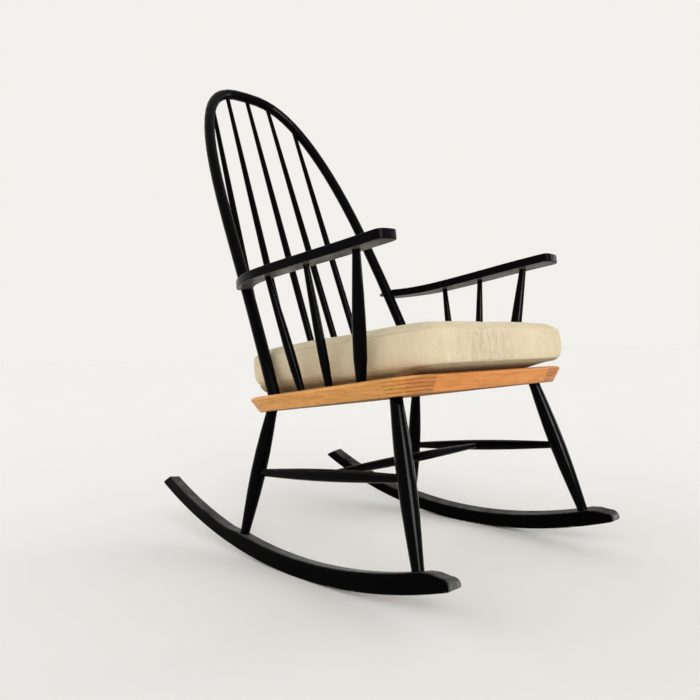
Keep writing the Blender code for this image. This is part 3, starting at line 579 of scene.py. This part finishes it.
@dataclass(frozen=True)
class OiledWood(Finish):
    """Oiled orange wood with fine grain, darker end grain, dark glue lines in the finger joints and a painted
    shade along the rails' bottom edge.
    """

    seat: SeatPlane = SeatPlane()
    colour: Colour = (0.640, 0.286, 0.074)
    light: Colour = (0.800, 0.388, 0.113)
    light_range: Pair = (0.30, 0.72)
    line: Colour = (0.430, 0.165, 0.038)
    line_share: float = 0.24
    pore_share: float = 0.46
    end_grain: Colour = (0.430, 0.150, 0.040)
    cut_share: float = 0.65
    cut_faces: Pair = (0.55, 0.95)
    stain: Colour = (0.430, 0.150, 0.040)
    stain_share: float = 0.45
    stain_faces: Pair = (0.35, 0.85)
    glue: Colour = (0.085, 0.030, 0.010)
    glue_share: float = 0.30
    glue_scale: float = 60.0
    glue_range: Pair = (0.34, 0.58)
    # Painted shade: a dark band along the bottom of the rails, standing in for the shade at their lower edge
    painted_edge_shade: Colour = (0.060, 0.026, 0.012)
    painted_edge_shade_share: float = 0.85
    painted_edge_shade_height: float = 0.0018
    run: Run = Run.ALONG
    stretch: Pair = (125.0, 15.0)
    thick: float = 0.030
    layers: int = 5
    side_edge: float = 0.167
    front_edge: float = -0.185
    rear_edge: float = 0.170
    gloss: Pair = (0.40, 0.62)
    specular: float = 0.18
    pore_depth: float = 0.7
    relief: Pair = (0.30, 0.0008)

    def paint(self, g: Paint) -> None:
        """Paints grain along the seat's frame and the joints at its corners.

        Args:
            g: the material's graph.
        """
        within = g.within(self.seat.matrix())
        grain = g.group(g.effects.grain, Vector=g.place(self.run.stretch(*self.stretch), within))
        joint = g.group(
            g.effects.fingers,
            Vector=within,
            Layer=self.thick / self.layers,
            Side_Edge=self.side_edge,
            Front_Edge=self.front_edge,
            Rear_Edge=self.rear_edge,
        )
        g.coat(self.light, g.span(grain["Tone"], *self.light_range))
        g.coat(self.line, grain["Lines"], self.line_share)
        g.coat(self.line, grain["Pores"], self.pore_share)
        face = g.axes(g.own("Normal"))
        across = face["Y"] if self.run is Run.ALONG else face["X"]
        cut = g.span(g.math("ABSOLUTE", across), *self.cut_faces)
        g.coat(self.end_grain, cut, joint["Corner"], self.cut_share)
        ahead = g.span(g.math("ABSOLUTE", face["Y"]), *self.stain_faces)
        g.coat(self.stain, joint["Corner"], ahead, self.stain_share)
        broken = g.span(g.noise(g.evenly(self.glue_scale), detail=3.0), *self.glue_range)
        g.coat(self.glue, joint["Lines"], broken, self.glue_share)
        # Painted shade along the rails' bottom edge
        base = g.span(g.axes(within)["Z"], -self.thick, self.painted_edge_shade_height - self.thick, self.painted_edge_shade_share, 0.0)
        g.coat(self.painted_edge_shade, base)
        g.give("Roughness", g.span(grain["Pores"], 0.0, 1.0, *self.gloss))
        g.give("Specular IOR Level", self.specular)
        g.give("Normal", g.bump(g.times(grain["Pores"], -self.pore_depth), *self.relief))


@dataclass(frozen=True)
class Linen(Finish):
    """Natural linen: a plain weave with slubs, creases, shade in the seams and a painted shade on the lower
    panel.
    """

    colour: Colour = (0.745, 0.632, 0.430)
    pale: Colour = (0.795, 0.680, 0.472)
    pale_scale: float = 9.0
    pale_range: Pair = (0.30, 0.70)
    thread: Colour = (0.630, 0.518, 0.336)
    slub_share: float = 0.50
    mottle_share: float = 0.28
    mottle_scale: Triple = (42.0, 42.0, 30.0)
    mottle_range: Pair = (0.36, 0.66)
    dip_share: float = 0.22
    dip_range: Pair = (-0.6, 0.5)
    seam: Colour = (0.360, 0.265, 0.155)
    seam_share: float = 0.34
    seam_line: Pair = (0.0002, 0.0014)
    seam_layer: str = "seam"
    # Painted shade: the lower panel is darkened as the shade below the cushion's lower seam
    lining: Colour = (0.340, 0.245, 0.120)
    painted_underside_shade_share: float = 0.8
    painted_underside_shade_range: Pair = (0.45, 0.85)
    painted_underside_shade_layer: str = "lining"
    pitch: float = 0.0011
    gloss: Pair = (0.96, 0.84)
    specular: float = 0.15
    sheen: float = 0.08
    sheen_roughness: float = 0.5
    thread_height: float = 0.25
    crumple_height: float = 3.4
    crumple_scale: Triple = (120.0, 120.0, 70.0)
    ridge_height: float = 9.0
    ridge_scale: Triple = (110.0, 110.0, 24.0)
    ridge_width: float = 0.10
    pull_layer: str = "pull"
    relief: Pair = (0.58, 0.0010)

    def paint(self, g: Paint) -> None:
        """Paints the weave, the shade in its seams and the painted shade of its lower panel, and raises
        threads and creases.

        Args:
            g: the material's graph.
        """
        cloth = g.group(g.effects.weave, Vector=g.own("Object"), Pitch=self.pitch)
        g.coat(self.pale, g.span(g.noise(g.evenly(self.pale_scale), detail=4.0), *self.pale_range))
        g.coat(self.thread, cloth["Slubs"], self.slub_share)
        mottle = g.noise(g.place(self.mottle_scale), detail=4.0, twist=0.8)
        g.coat(self.thread, g.span(mottle, *self.mottle_range, 0.0, self.mottle_share))
        g.coat(self.thread, g.span(cloth["Height"], *self.dip_range, self.dip_share, 0.0))
        g.coat(self.seam, g.span(g.layer(self.seam_layer), *self.seam_line, self.seam_share, 0.0))
        # Painted shade on the lower panel, from the stored marks
        g.coat(self.lining, g.span(g.layer(self.painted_underside_shade_layer), *self.painted_underside_shade_range, 0.0, self.painted_underside_shade_share))
        g.give("Roughness", g.span(cloth["Slubs"], 0.0, 1.0, *self.gloss))
        g.give("Specular IOR Level", self.specular)
        g.give("Sheen Weight", self.sheen)
        g.give("Sheen Roughness", self.sheen_roughness)
        crumple = g.noise(g.place(self.crumple_scale), detail=4.0, twist=1.2)
        strands = g.noise(g.place(self.ridge_scale), twist=0.9)
        middle = g.math("ABSOLUTE", g.math("SUBTRACT", strands, 0.5))
        ridges = g.span(middle, 0.0, self.ridge_width, self.ridge_height, 0.0)
        height = g.total(
            g.times(cloth["Height"], self.thread_height),
            cloth["Slubs"],
            g.times(crumple, self.crumple_height),
            g.times(ridges, g.layer(self.pull_layer)),
        )
        g.give("Normal", g.bump(height, *self.relief))


@dataclass(frozen=True)
class RubberWebbing(Finish):
    """Brown woven rubber webbing, dull and a little dusty."""

    colour: Colour = (0.070, 0.046, 0.030)
    thread: Colour = (0.135, 0.098, 0.066)
    thread_range: Pair = (-0.6, 0.8)
    dust: Colour = (0.20, 0.18, 0.15)
    dust_share: float = 0.3
    dust_scale: float = 30.0
    pitch: float = 0.0024
    gloss: Pair = (0.70, 0.88)
    relief: Pair = (0.5, 0.0008)

    def paint(self, g: Paint) -> None:
        """Paints the weave and its dust.

        Args:
            g: the material's graph.
        """
        cloth = g.group(g.effects.weave, Vector=g.own("Object"), Pitch=self.pitch)
        film = g.group(g.effects.dust, Vector=g.evenly(self.dust_scale), Normal=g.own("Normal"))["Mask"]
        g.coat(self.thread, g.span(cloth["Height"], *self.thread_range))
        g.coat(self.dust, film, self.dust_share)
        g.give("Roughness", g.span(cloth["Slubs"], 0.0, 1.0, *self.gloss))
        g.give("Normal", g.bump(cloth["Height"], *self.relief))


@dataclass(frozen=True)
class BlackedSteel(Finish):
    """Blackened screw steel with rubbed spots."""

    colour: Colour = (0.045, 0.045, 0.047)
    bright: Colour = (0.230, 0.225, 0.215)
    spot_scale: float = 420.0
    spot_cover: float = 0.42
    gloss: Pair = (0.42, 0.28)

    def paint(self, g: Paint) -> None:
        """Paints bright spots on black metal.

        Args:
            g: the material's graph.
        """
        spots = g.group(g.effects.scuffs, Vector=g.evenly(self.spot_scale), Cover=self.spot_cover)["Mask"]
        g.coat(self.bright, spots)
        g.give("Roughness", g.span(spots, 0.0, 1.0, *self.gloss))
        g.give("Metallic", 1.0)


@dataclass(frozen=True)
class PaleFloor(Finish):
    """A dull pale floor in two close tones."""

    colour: Colour = (0.894380, 0.881575, 0.847100)
    light: Colour = (0.908, 0.895, 0.860)
    light_scale: float = 2.2
    roughness: float = 0.75

    def paint(self, g: Paint) -> None:
        """Paints wide soft clouds.

        Args:
            g: the material's graph.
        """
        g.coat(self.light, g.noise(g.evenly(self.light_scale), detail=3.0))
        g.give("Roughness", self.roughness)
        g.give("Specular IOR Level", 0.0)


def pair(name: str) -> list[str]:
    """A piece's names on both sides."""
    return [f"{name}_{side.name.lower()}" for side in Side]


def row(name: str, count: int) -> list[str]:
    """The names of pieces that stand in a row."""
    return [f"{name}_{number}" for number in range(1, count + 1)]


@dataclass
class Pieces:
    """CAD nodes that stay as they are and take a finish."""

    nodes: dict[str, Object]
    effects: Effects

    def dress(self, label: str, finish: Finish, names: Sequence[str]) -> None:
        """Gives nodes a new material.

        Args:
            label: the material's name.
            finish: the finish that it has.
            names: the nodes' names.
        """
        made = finish.material(label, self.effects)
        for name in names:
            slots = self.nodes[name].data.materials
            slots.clear()
            slots.append(made)
            LOG.info("dressed %s", name)


@dataclass
class Undercarriage(Pieces):
    """The rockers, the turned legs and the stretchers between them."""

    rocker: Lacquer = RunnerLacquer()
    leg: Lacquer = Lacquer(rounding=0.0045)
    stretcher: Lacquer = Lacquer(run=Run.ALONG, dust_share=0.5, rounding=0.0032)

    def finish(self) -> None:
        """Lacquers the runners and the turned pieces."""
        self.dress("runner_lacquer", self.rocker, pair("rocker"))
        self.dress("leg_lacquer", self.leg, pair("leg_front") + pair("leg_rear"))
        self.dress("stretcher_lacquer", self.stretcher, pair("side_stretcher"))
        across = replace(self.stretcher, run=Run.ACROSS)
        self.dress("cross_stretcher_lacquer", across, ["cross_stretcher"])


@dataclass
class BackRest(Pieces):
    """The bent bow and its five spindles."""

    bow: Lacquer = Lacquer(gloss=(0.20, 0.32), rounding=0.0035)
    spindle: Lacquer = Lacquer(rubbed_cover=0.28, rounding=0.0024)
    spindles: int = 5

    def finish(self) -> None:
        """Lacquers the bow and the spindles."""
        self.dress("bow_lacquer", self.bow, ["bow"])
        self.dress("spindle_lacquer", self.spindle, row("back_spindle", self.spindles))


@dataclass
class ArmRests(Pieces):
    """The flat arms, their turned posts and the screws that hold them to the bow."""

    # The arms' undersides get a painted grey reflection of the floor
    arm: Lacquer = Lacquer(run=Run.ALONG, rubbed_cover=0.36, gloss=(0.24, 0.40), painted_reflection_share=0.80)
    post: Lacquer = Lacquer(rounding=0.0030)
    screw: BlackedSteel = BlackedSteel()

    def finish(self) -> None:
        """Lacquers the arms and posts and blacks the screws."""
        self.dress("arm_lacquer", self.arm, pair("arm"))
        posts = pair("arm_post_front") + pair("arm_post_middle") + pair("arm_post_rear")
        self.dress("post_lacquer", self.post, posts)
        self.dress("screw_steel", self.screw, pair("arm_screw"))


@dataclass
class SeatFrame(Pieces):
    """The finger jointed rails and the webbing let into them."""

    side: OiledWood = OiledWood()
    cross: OiledWood = OiledWood(
        colour=(0.620, 0.221, 0.050),
        light=(0.770, 0.303, 0.077),
        end_grain=(0.700, 0.330, 0.092),
        run=Run.ACROSS,
        cut_share=0.90,
    )
    strap: RubberWebbing = RubberWebbing()
    straps: int = 5

    def finish(self) -> None:
        """Oils the rails, each along its own grain, and dresses the webbing."""
        self.dress("side_rail_wood", self.side, pair("seat_rail"))
        self.dress("cross_rail_wood", self.cross, ["seat_rail_front", "seat_rail_rear"])
        self.dress("seat_webbing", self.strap, row("seat_strap", self.straps))


@dataclass(frozen=True)
class Stuffing:
    """How the cover's cloth behaves while it is filled, by the names of the cloth's own settings."""

    quality: int = 5
    mass: float = 0.3
    use_pressure: bool = True
    uniform_pressure_force: float = 4.0
    tension_stiffness: float = 18.0
    compression_stiffness: float = 18.0
    shear_stiffness: float = 6.0
    bending_stiffness: float = 0.4


@dataclass(frozen=True)
class Creases:
    """Upright folds where the cloth of the front border is pulled, and small ripples all round it."""

    ripple: float = 0.0012
    ripple_scale: Triple = (16.0, 16.0, 9.0)
    pleat: float = 0.021
    depth: float = 0.0058
    strength: Pair = (0.55, 0.75)
    strength_scale: Triple = (30.0, 3.0, 16.0)
    sway: float = 0.012
    sway_scale: Triple = (14.0, 0.0, 22.0)
    # Each pull: its size, where it lies along the rim and how far it spreads
    pulls: tuple[Triple, ...] = ((1.0, 0.205, 0.080), (0.4, 0.425, 0.045))
    ahead: float = 0.18
    fade: float = 0.06

    def pull(self, spot: Vector) -> float:
        """How strongly the cloth is pulled at a point of the border, in the seat's frame."""
        share = sum(size * hump(spot.x - spot.y, where, spread) for size, where, spread in self.pulls)
        return share * ease((-spot.y - self.ahead) / self.fade)

    def push(self, spot: Vector, up: float) -> float:
        """How far a point of the border is pushed out or in.

        Args:
            spot: the point in the seat's frame.
            up: its share up, from -1 to 1.

        Returns:
            The move along the normal.
        """
        rim = spot.x - spot.y
        around = Vector((rim, 1.0, spot.z))
        ripple = self.ripple * noise.noise(spot * Vector(self.ripple_scale))
        # The middle of these two scales only picks another stretch of the noise
        sway = self.sway * noise.noise(around * Vector(self.sway_scale))
        fold = math.sin((rim + sway) * 2 * math.pi / self.pleat)
        mean, spread = self.strength
        uneven = mean + spread * noise.noise(around * Vector(self.strength_scale))
        return (ripple + self.depth * self.pull(spot) * fold * uneven) * math.cos(math.pi / 2 * up)


@dataclass
class SeatCushion:
    """A loose box cushion: two panels and a border, sewn together and stuffed."""

    effects: Effects
    plane: SeatPlane = SeatPlane()
    linen: Linen = Linen()
    stuffing: Stuffing = Stuffing()
    creases: Creases = Creases()
    # The plan, seen from above
    half: float = 0.2024
    front: float = 0.2680
    rear: float = 0.2149
    corner_ahead: float = 0.032
    corner_behind: float = 0.018
    gather: float = 0.62
    cuts: tuple[int, int, int] = (89, 69, 9)
    # The seams' heights over the seat, and where the lower one dips along the sides
    top_seam: float = 0.0725
    seam_ahead: float = 0.0135
    seam_behind: float = 0.0230
    dip: float = 0.0050
    dip_run: float = 0.055
    dip_start: float = 0.75
    dip_fade: float = 0.20
    dips: tuple[tuple[Side, float], ...] = ((Side.RIGHT, -0.060), (Side.LEFT, 0.050))
    slope: float = math.radians(1.6)
    # The panels: the crown above, the tuck below and how far their edges are drawn in
    crown: float = 0.0145
    crown_run: float = 0.110
    base_run: float = 0.042
    lip: float = 0.010
    lip_share: float = 0.15
    tuck: float = 0.110
    overhang: float = 0.17
    overhang_fade: float = 0.07
    draw: float = 0.0030
    draw_below: float = 0.0070
    clear: float = 0.0006
    # How far the stuffing may move the cover, and how its waves are calmed
    frames: int = 18
    swell: float = 0.0050
    side_swell: float = 0.0012
    steep: float = 0.5
    shrink: float = 0.0010
    calm: int = 6
    calm_share: float = 0.5
    # The worked cloth: uneven waves, each with a size and a scale, the seams and the painted shade at the
    # lower panel's rim
    waves: tuple[Pair, ...] = ((0.0016, 11.0), (0.0005, 42.0))
    groove: float = 0.0005
    faint: float = 0.0007
    faint_ahead: float = 0.20
    faint_fade: float = 0.05
    painted_underside_shade_rim: float = 0.5

    def build(self) -> None:
        """Makes the cushion, which rides on its own body."""
        mesh, levels = self._sewn_box()
        cushion = bpy.data.objects.new("linen_cushion", mesh)
        bpy.context.scene.collection.objects.link(cushion)
        self._stuff(cushion)
        self._even_out(cushion.data, levels)
        self._work_cloth(cushion.data, levels)
        cushion.data.transform(self.plane.matrix())
        cushion.data.shade_smooth()
        finer = cushion.modifiers.new("finer", "SUBSURF")
        finer.levels = 1
        finer.render_levels = 1
        cushion.data.materials.append(self.linen.material("cushion_linen", self.effects))
        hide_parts("seat_cushion")
        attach(cushion, "cushion")
        LOG.info("sewed %s with %d faces", cushion.name, len(cushion.data.polygons))

    def _sewn_box(self) -> tuple[Mesh, list[Triple]]:
        """The cut and sewn cover before stuffing, in the seat's frame.

        Returns:
            The mesh and, for each vertex, its place on the cover: across, along and up, each a share.
        """
        bm = bmesh.new()
        bmesh.ops.create_cube(bm, size=2.0)
        for axis, cuts in enumerate(self.cuts):
            lines = [e for e in bm.edges if abs(e.verts[0].co[axis] - e.verts[1].co[axis]) > SAME]
            bmesh.ops.subdivide_edges(bm, edges=lines, cuts=cuts, use_grid_fill=True)
        levels = [tuple(v.co) for v in bm.verts]
        for vert in bm.verts:
            vert.co = self._cover_point(*vert.co)
        bmesh.ops.recalc_face_normals(bm, faces=bm.faces[:])
        mesh = bpy.data.meshes.new("linen_cushion")
        bm.to_mesh(mesh)
        bm.free()
        return mesh, levels

    def _plan(self, across: float, along: float, inset: float) -> Triple:
        """A point of the cushion's rounded plan.

        Args:
            across: share of the half width, from -1 to 1.
            along: share of the half depth, from -1 to 1.
            inset: how far the edge is drawn in.

        Returns:
            X, Y and the distance from the edge.
        """
        half_x = self.half - inset
        half_y = (self.front + self.rear) / 2 - inset
        middle = (self.rear - self.front) / 2
        bent = [s + self.gather * (math.sin(math.pi / 2 * s) - s) for s in (across, along)]
        x, y = bent[0] * half_x, bent[1] * half_y
        edge = min(half_x - abs(x), half_y - abs(y))
        corner = self.corner_ahead if y < 0 else self.corner_behind
        over_x = (abs(x) - (half_x - corner)) / corner
        over_y = (abs(y) - (half_y - corner)) / corner
        if over_x > 0 and over_y > 0:
            round_x = over_x * math.sqrt(1 - over_y * over_y / 2)
            round_y = over_y * math.sqrt(1 - over_x * over_x / 2)
            x = math.copysign(half_x - corner + corner * round_x, x)
            y = math.copysign(half_y - corner + corner * round_y, y)
            edge = corner * (1 - math.hypot(round_x, round_y))
        return x, middle + y, max(edge, 0.0)

    def _seam_height(self, x: float, y: float) -> float:
        """The height of the lower seam, which rises to the rear and dips along each side.

        Args:
            x: where it is read, across.
            y: where it is read, along.

        Returns:
            The height above the seat.
        """
        rise = ease((y + self.front) / (self.front + self.rear))
        height = self.seam_ahead + (self.seam_behind - self.seam_ahead) * rise
        for side, where in self.dips:
            beside = ease((side.value * x / self.half - self.dip_start) / self.dip_fade)
            height -= self.dip * beside * hump(y, where, self.dip_run)
        return height

    @staticmethod
    def _bulge(part: float) -> float:
        """A quarter round that falls from 1 at the start to 0 at a share of 1."""
        fall = 1 - min(part, 1.0)
        return 1 - math.sqrt(1 - fall * fall)

    @staticmethod
    def _rise(up: float) -> float:
        """The share of the border's height at a share up, from -1 to 1, with rows close at the seams."""
        return 0.5 + 0.5 * math.sin(math.pi / 2 * up)

    def _cover_point(self, across: float, along: float, up: float) -> Vector:
        """Where a point of the cover lies before stuffing.

        Args:
            across: share across, from -1 to 1.
            along: share along, from -1 to 1.
            up: share up, from -1 to 1.

        Returns:
            The point in the seat's frame.
        """
        if abs(up) < RIM:
            part = self._rise(up)
            full = math.sqrt(math.sin(math.pi * part))
            drawn = self.draw_below + (self.draw - self.draw_below) * part
            x, y, _ = self._plan(across, along, drawn * (1 - full))
            low = self._seam_height(x, y)
            z = low + (self.top_seam - low) * part
        elif up > 0:
            x, y, edge = self._plan(across, along, self.draw)
            ends = min(self.rear - y, y + self.front)
            falls = [self._bulge(away / self.crown_run) for away in (edge, self.half - abs(x), ends)]
            z = self.top_seam + self.crown * math.sqrt(math.prod(1 - fall for fall in falls))
        else:
            x, y, edge = self._plan(across, along, self.draw_below)
            full = self._bulge(edge / self.base_run)
            tucked = 1 - ease(edge / self.tuck)
            held = tucked + self.lip_share * (self._bulge(edge / self.lip) - tucked)
            curve = full + (held - full) * ease((-y - self.overhang) / self.overhang_fade)
            z = self.clear + (self._seam_height(x, y) - self.clear) * curve
        lift = math.tan(self.slope) * z / self.top_seam
        return Vector((x, y, z + lift * (y + self.front / 2)))

    def _stuff(self, cushion: Object) -> None:
        """Swells the cover with cloth simulation and keeps each point near its start.

        Args:
            cushion: the cover, whose points are moved.
        """
        scene = bpy.context.scene
        before = [v.co.copy() for v in cushion.data.vertices]
        cloth = cushion.modifiers.new("stuffing", "CLOTH")
        for key, value in asdict(self.stuffing).items():
            setattr(cloth.settings, key, value)
        cloth.settings.effector_weights.gravity = 0.0
        cloth.point_cache.frame_start = 1
        cloth.point_cache.frame_end = self.frames
        for frame in range(1, self.frames + 1):
            scene.frame_set(frame)
        graph = bpy.context.evaluated_depsgraph_get()
        after = [v.co.copy() for v in cushion.evaluated_get(graph).data.vertices]
        cushion.modifiers.remove(cloth)
        scene.frame_set(1)
        normals = [v.normal.copy() for v in cushion.data.vertices]
        for vert, normal, start, end in zip(cushion.data.vertices, normals, before, after):
            move = end - start
            out = move.dot(normal)
            slide = move - normal * out
            tight = max(abs(normal.x), normal.y, -normal.z) > self.steep
            out = min(max(out, -self.shrink), self.side_swell if tight else self.swell)
            if slide.length > self.shrink:
                slide *= self.shrink / slide.length
            place = start + normal * out + slide
            place.z = max(place.z, self.clear)
            vert.co = place

    def _even_out(self, mesh: Mesh, levels: Sequence[Triple]) -> None:
        """Calms the small waves that stuffing leaves in the upper panel.

        Args:
            mesh: the stuffed cover.
            levels: each vertex's place on the cover.
        """
        bm = bmesh.new()
        bm.from_mesh(mesh)
        bm.verts.ensure_lookup_table()
        panel = [
            bm.verts[number]
            for number, (across, along, up) in enumerate(levels)
            if up > RIM and max(abs(across), abs(along)) < RIM
        ]
        for _ in range(self.calm):
            bmesh.ops.smooth_vert(bm, verts=panel, factor=self.calm_share, use_axis_z=True)
        bm.to_mesh(mesh)
        bm.free()

    def _work_cloth(self, mesh: Mesh, levels: Sequence[Triple]) -> None:
        """Draws the seams in, folds the border and stores the seams, the pull and the painted shade of the
        lower panel for the finish.

        Args:
            mesh: the stuffed cover, in the seat's frame.
            levels: each vertex's place on the cover.
        """
        names = (self.linen.seam_layer, self.linen.pull_layer, self.linen.painted_underside_shade_layer)
        for name in names:
            mesh.attributes.new(name, "FLOAT", "POINT")
        seams, pulls, painted_underside_shades = (mesh.attributes[name].data for name in names)
        normals = [v.normal.copy() for v in mesh.vertices]
        for vert, normal, (across, along, up) in zip(mesh.vertices, normals, levels):
            on_rim = max(abs(across), abs(along)) > RIM
            if on_rim:
                part = self._rise(up)
                away = min(part, 1 - part) * (self.top_seam - self.seam_ahead)
                move = self.creases.push(vert.co, up) if abs(up) < RIM else -self.groove
                if up > 0.0:
                    away += self.faint * ease((-vert.co.y - self.faint_ahead) / self.faint_fade)
                pulls[vert.index].value = self.creases.pull(vert.co) * math.cos(math.pi / 2 * up)
            else:
                away = self._plan(across, along, self.draw)[2]
                waves = sum(size * noise.noise(vert.co * scale) for size, scale in self.waves)
                move = waves if up > 0 else 0.0
            seams[vert.index].value = away
            # Marks the lower panel, at part strength on its rim, for the painted shade below the cushion
            if up < -RIM:
                painted_underside_shades[vert.index].value = self.painted_underside_shade_rim if on_rim else 1.0
            vert.co += normal * move


@dataclass(frozen=True)
class Lamp:
    """A soft lamp far away: its strength, its width in degrees and the surfaces that take its light."""

    strength: float
    angle: float
    mirrored: bool = True
    lit: bool = True

    def place(self, name: str, toward: Sequence[float]) -> None:
        """Puts up a lamp of this kind.

        Args:
            name: the lamp's name.
            toward: the direction in which it lies.
        """
        lamp = bpy.data.lights.new(name, "SUN")
        lamp.energy = self.strength
        lamp.angle = math.radians(self.angle)
        placed = bpy.data.objects.new(name, lamp)
        placed.rotation_euler = Vector(toward).to_track_quat("Z", "Y").to_euler()
        placed.visible_glossy = self.mirrored
        placed.visible_diffuse = self.lit
        bpy.context.scene.collection.objects.link(placed)


@dataclass
class Studio:
    """Pale floor, even soft light and the camera of the photograph's angle."""

    effects: Effects
    backdrop: Colour = (0.886, 0.875, 0.840)
    fill: float = 0.22
    floor: PaleFloor = PaleFloor()
    reach: float = 60.0
    window: Lamp = Lamp(0.62, 13.0)
    window_side: Triple = (0.90, -0.36, 0.18)
    front: Lamp = Lamp(0.62, 20.0, mirrored=False)
    front_side: Triple = (-0.42, -0.76, 0.50)
    strip: Lamp = Lamp(0.58, 8.0, lit=False)
    strip_lamps: int = 4
    # Each strip: its turn, the height of its lowest lamp and the step to the next, in degrees
    strips: tuple[Triple, ...] = ((-109.0, 15.0, 7.0), (-99.5, 3.0, 6.0))
    ring: Lamp = Lamp(0.60, 50.0, mirrored=False)
    ring_lamps: int = 8
    ring_rise: float = 0.45
    lens: float = 33.857
    sensor: float = 36.0
    near: float = 0.01
    spot: Triple = (-0.9716859, -0.9877668, 0.3898848)
    right: Triple = (0.7279117, -0.6850945, -0.0281093)
    up: Triple = (0.0177644, -0.0221387, 0.9995971)

    def build(self) -> None:
        """Sets up the floor, the world, the lamps and the camera."""
        self._floor()
        self._world()
        self.window.place("window", self.window_side)
        self.front.place("front", self.front_side)
        for column, (turn, start, step) in enumerate(self.strips):
            for number in range(self.strip_lamps):
                self.strip.place(f"strip_{column}_{number}", bearing(turn, start + step * number))
        for number in range(self.ring_lamps):
            turn = 2 * math.pi * (number + 0.5) / self.ring_lamps
            self.ring.place(f"ring_{number}", (math.cos(turn), math.sin(turn), self.ring_rise))
        self._camera()
        bpy.context.scene.view_settings.view_transform = "Standard"

    def _floor(self) -> None:
        """A wide pale floor."""
        bm = bmesh.new()
        bmesh.ops.create_grid(bm, x_segments=2, y_segments=2, size=self.reach)
        mesh = bpy.data.meshes.new("studio_floor")
        bm.to_mesh(mesh)
        bm.free()
        floor = bpy.data.objects.new("studio_floor", mesh)
        bpy.context.scene.collection.objects.link(floor)
        mesh.materials.append(self.floor.material("pale_floor", self.effects))

    def _world(self) -> None:
        """Even light from all round, with a pale background for what looks at it directly."""
        world = bpy.data.worlds.new("studio_world")
        bpy.context.scene.world = world
        world.use_nodes = True
        g = Graph(world.node_tree)
        back = world.node_tree.nodes["Background"]
        rays = g.node("ShaderNodeLightPath").outputs
        seen = g.math("MAXIMUM", rays["Is Camera Ray"], rays["Is Glossy Ray"])
        seen = g.math("MAXIMUM", seen, rays["Is Transmission Ray"])
        g.feed(back.inputs["Color"], g.blend(seen, (self.fill, self.fill, self.fill), self.backdrop))
        back.inputs["Strength"].default_value = 1.0

    def _camera(self) -> None:
        """The camera, at the photograph's place and lens."""
        lens = bpy.data.cameras.new("camera")
        lens.lens = self.lens
        lens.sensor_width = self.sensor
        lens.clip_start = self.near
        placed = bpy.data.objects.new("camera", lens)
        right, up = Vector(self.right), Vector(self.up)
        turn = Matrix((right, up, right.cross(up))).transposed().to_4x4()
        placed.matrix_world = Matrix.Translation(self.spot) @ turn
        bpy.context.scene.collection.objects.link(placed)
        bpy.context.scene.camera = placed


def main() -> None:
    """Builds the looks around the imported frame."""
    logging.basicConfig(level=logging.INFO, format="%(message)s")
    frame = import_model()
    effects = Effects()
    for kind in (Undercarriage, BackRest, ArmRests, SeatFrame):
        kind(frame["nodes"], effects).finish()
    SeatCushion(effects).build()
    Studio(effects).build()
    LOG.info("sizes written")


if __name__ == "__main__":
    main()
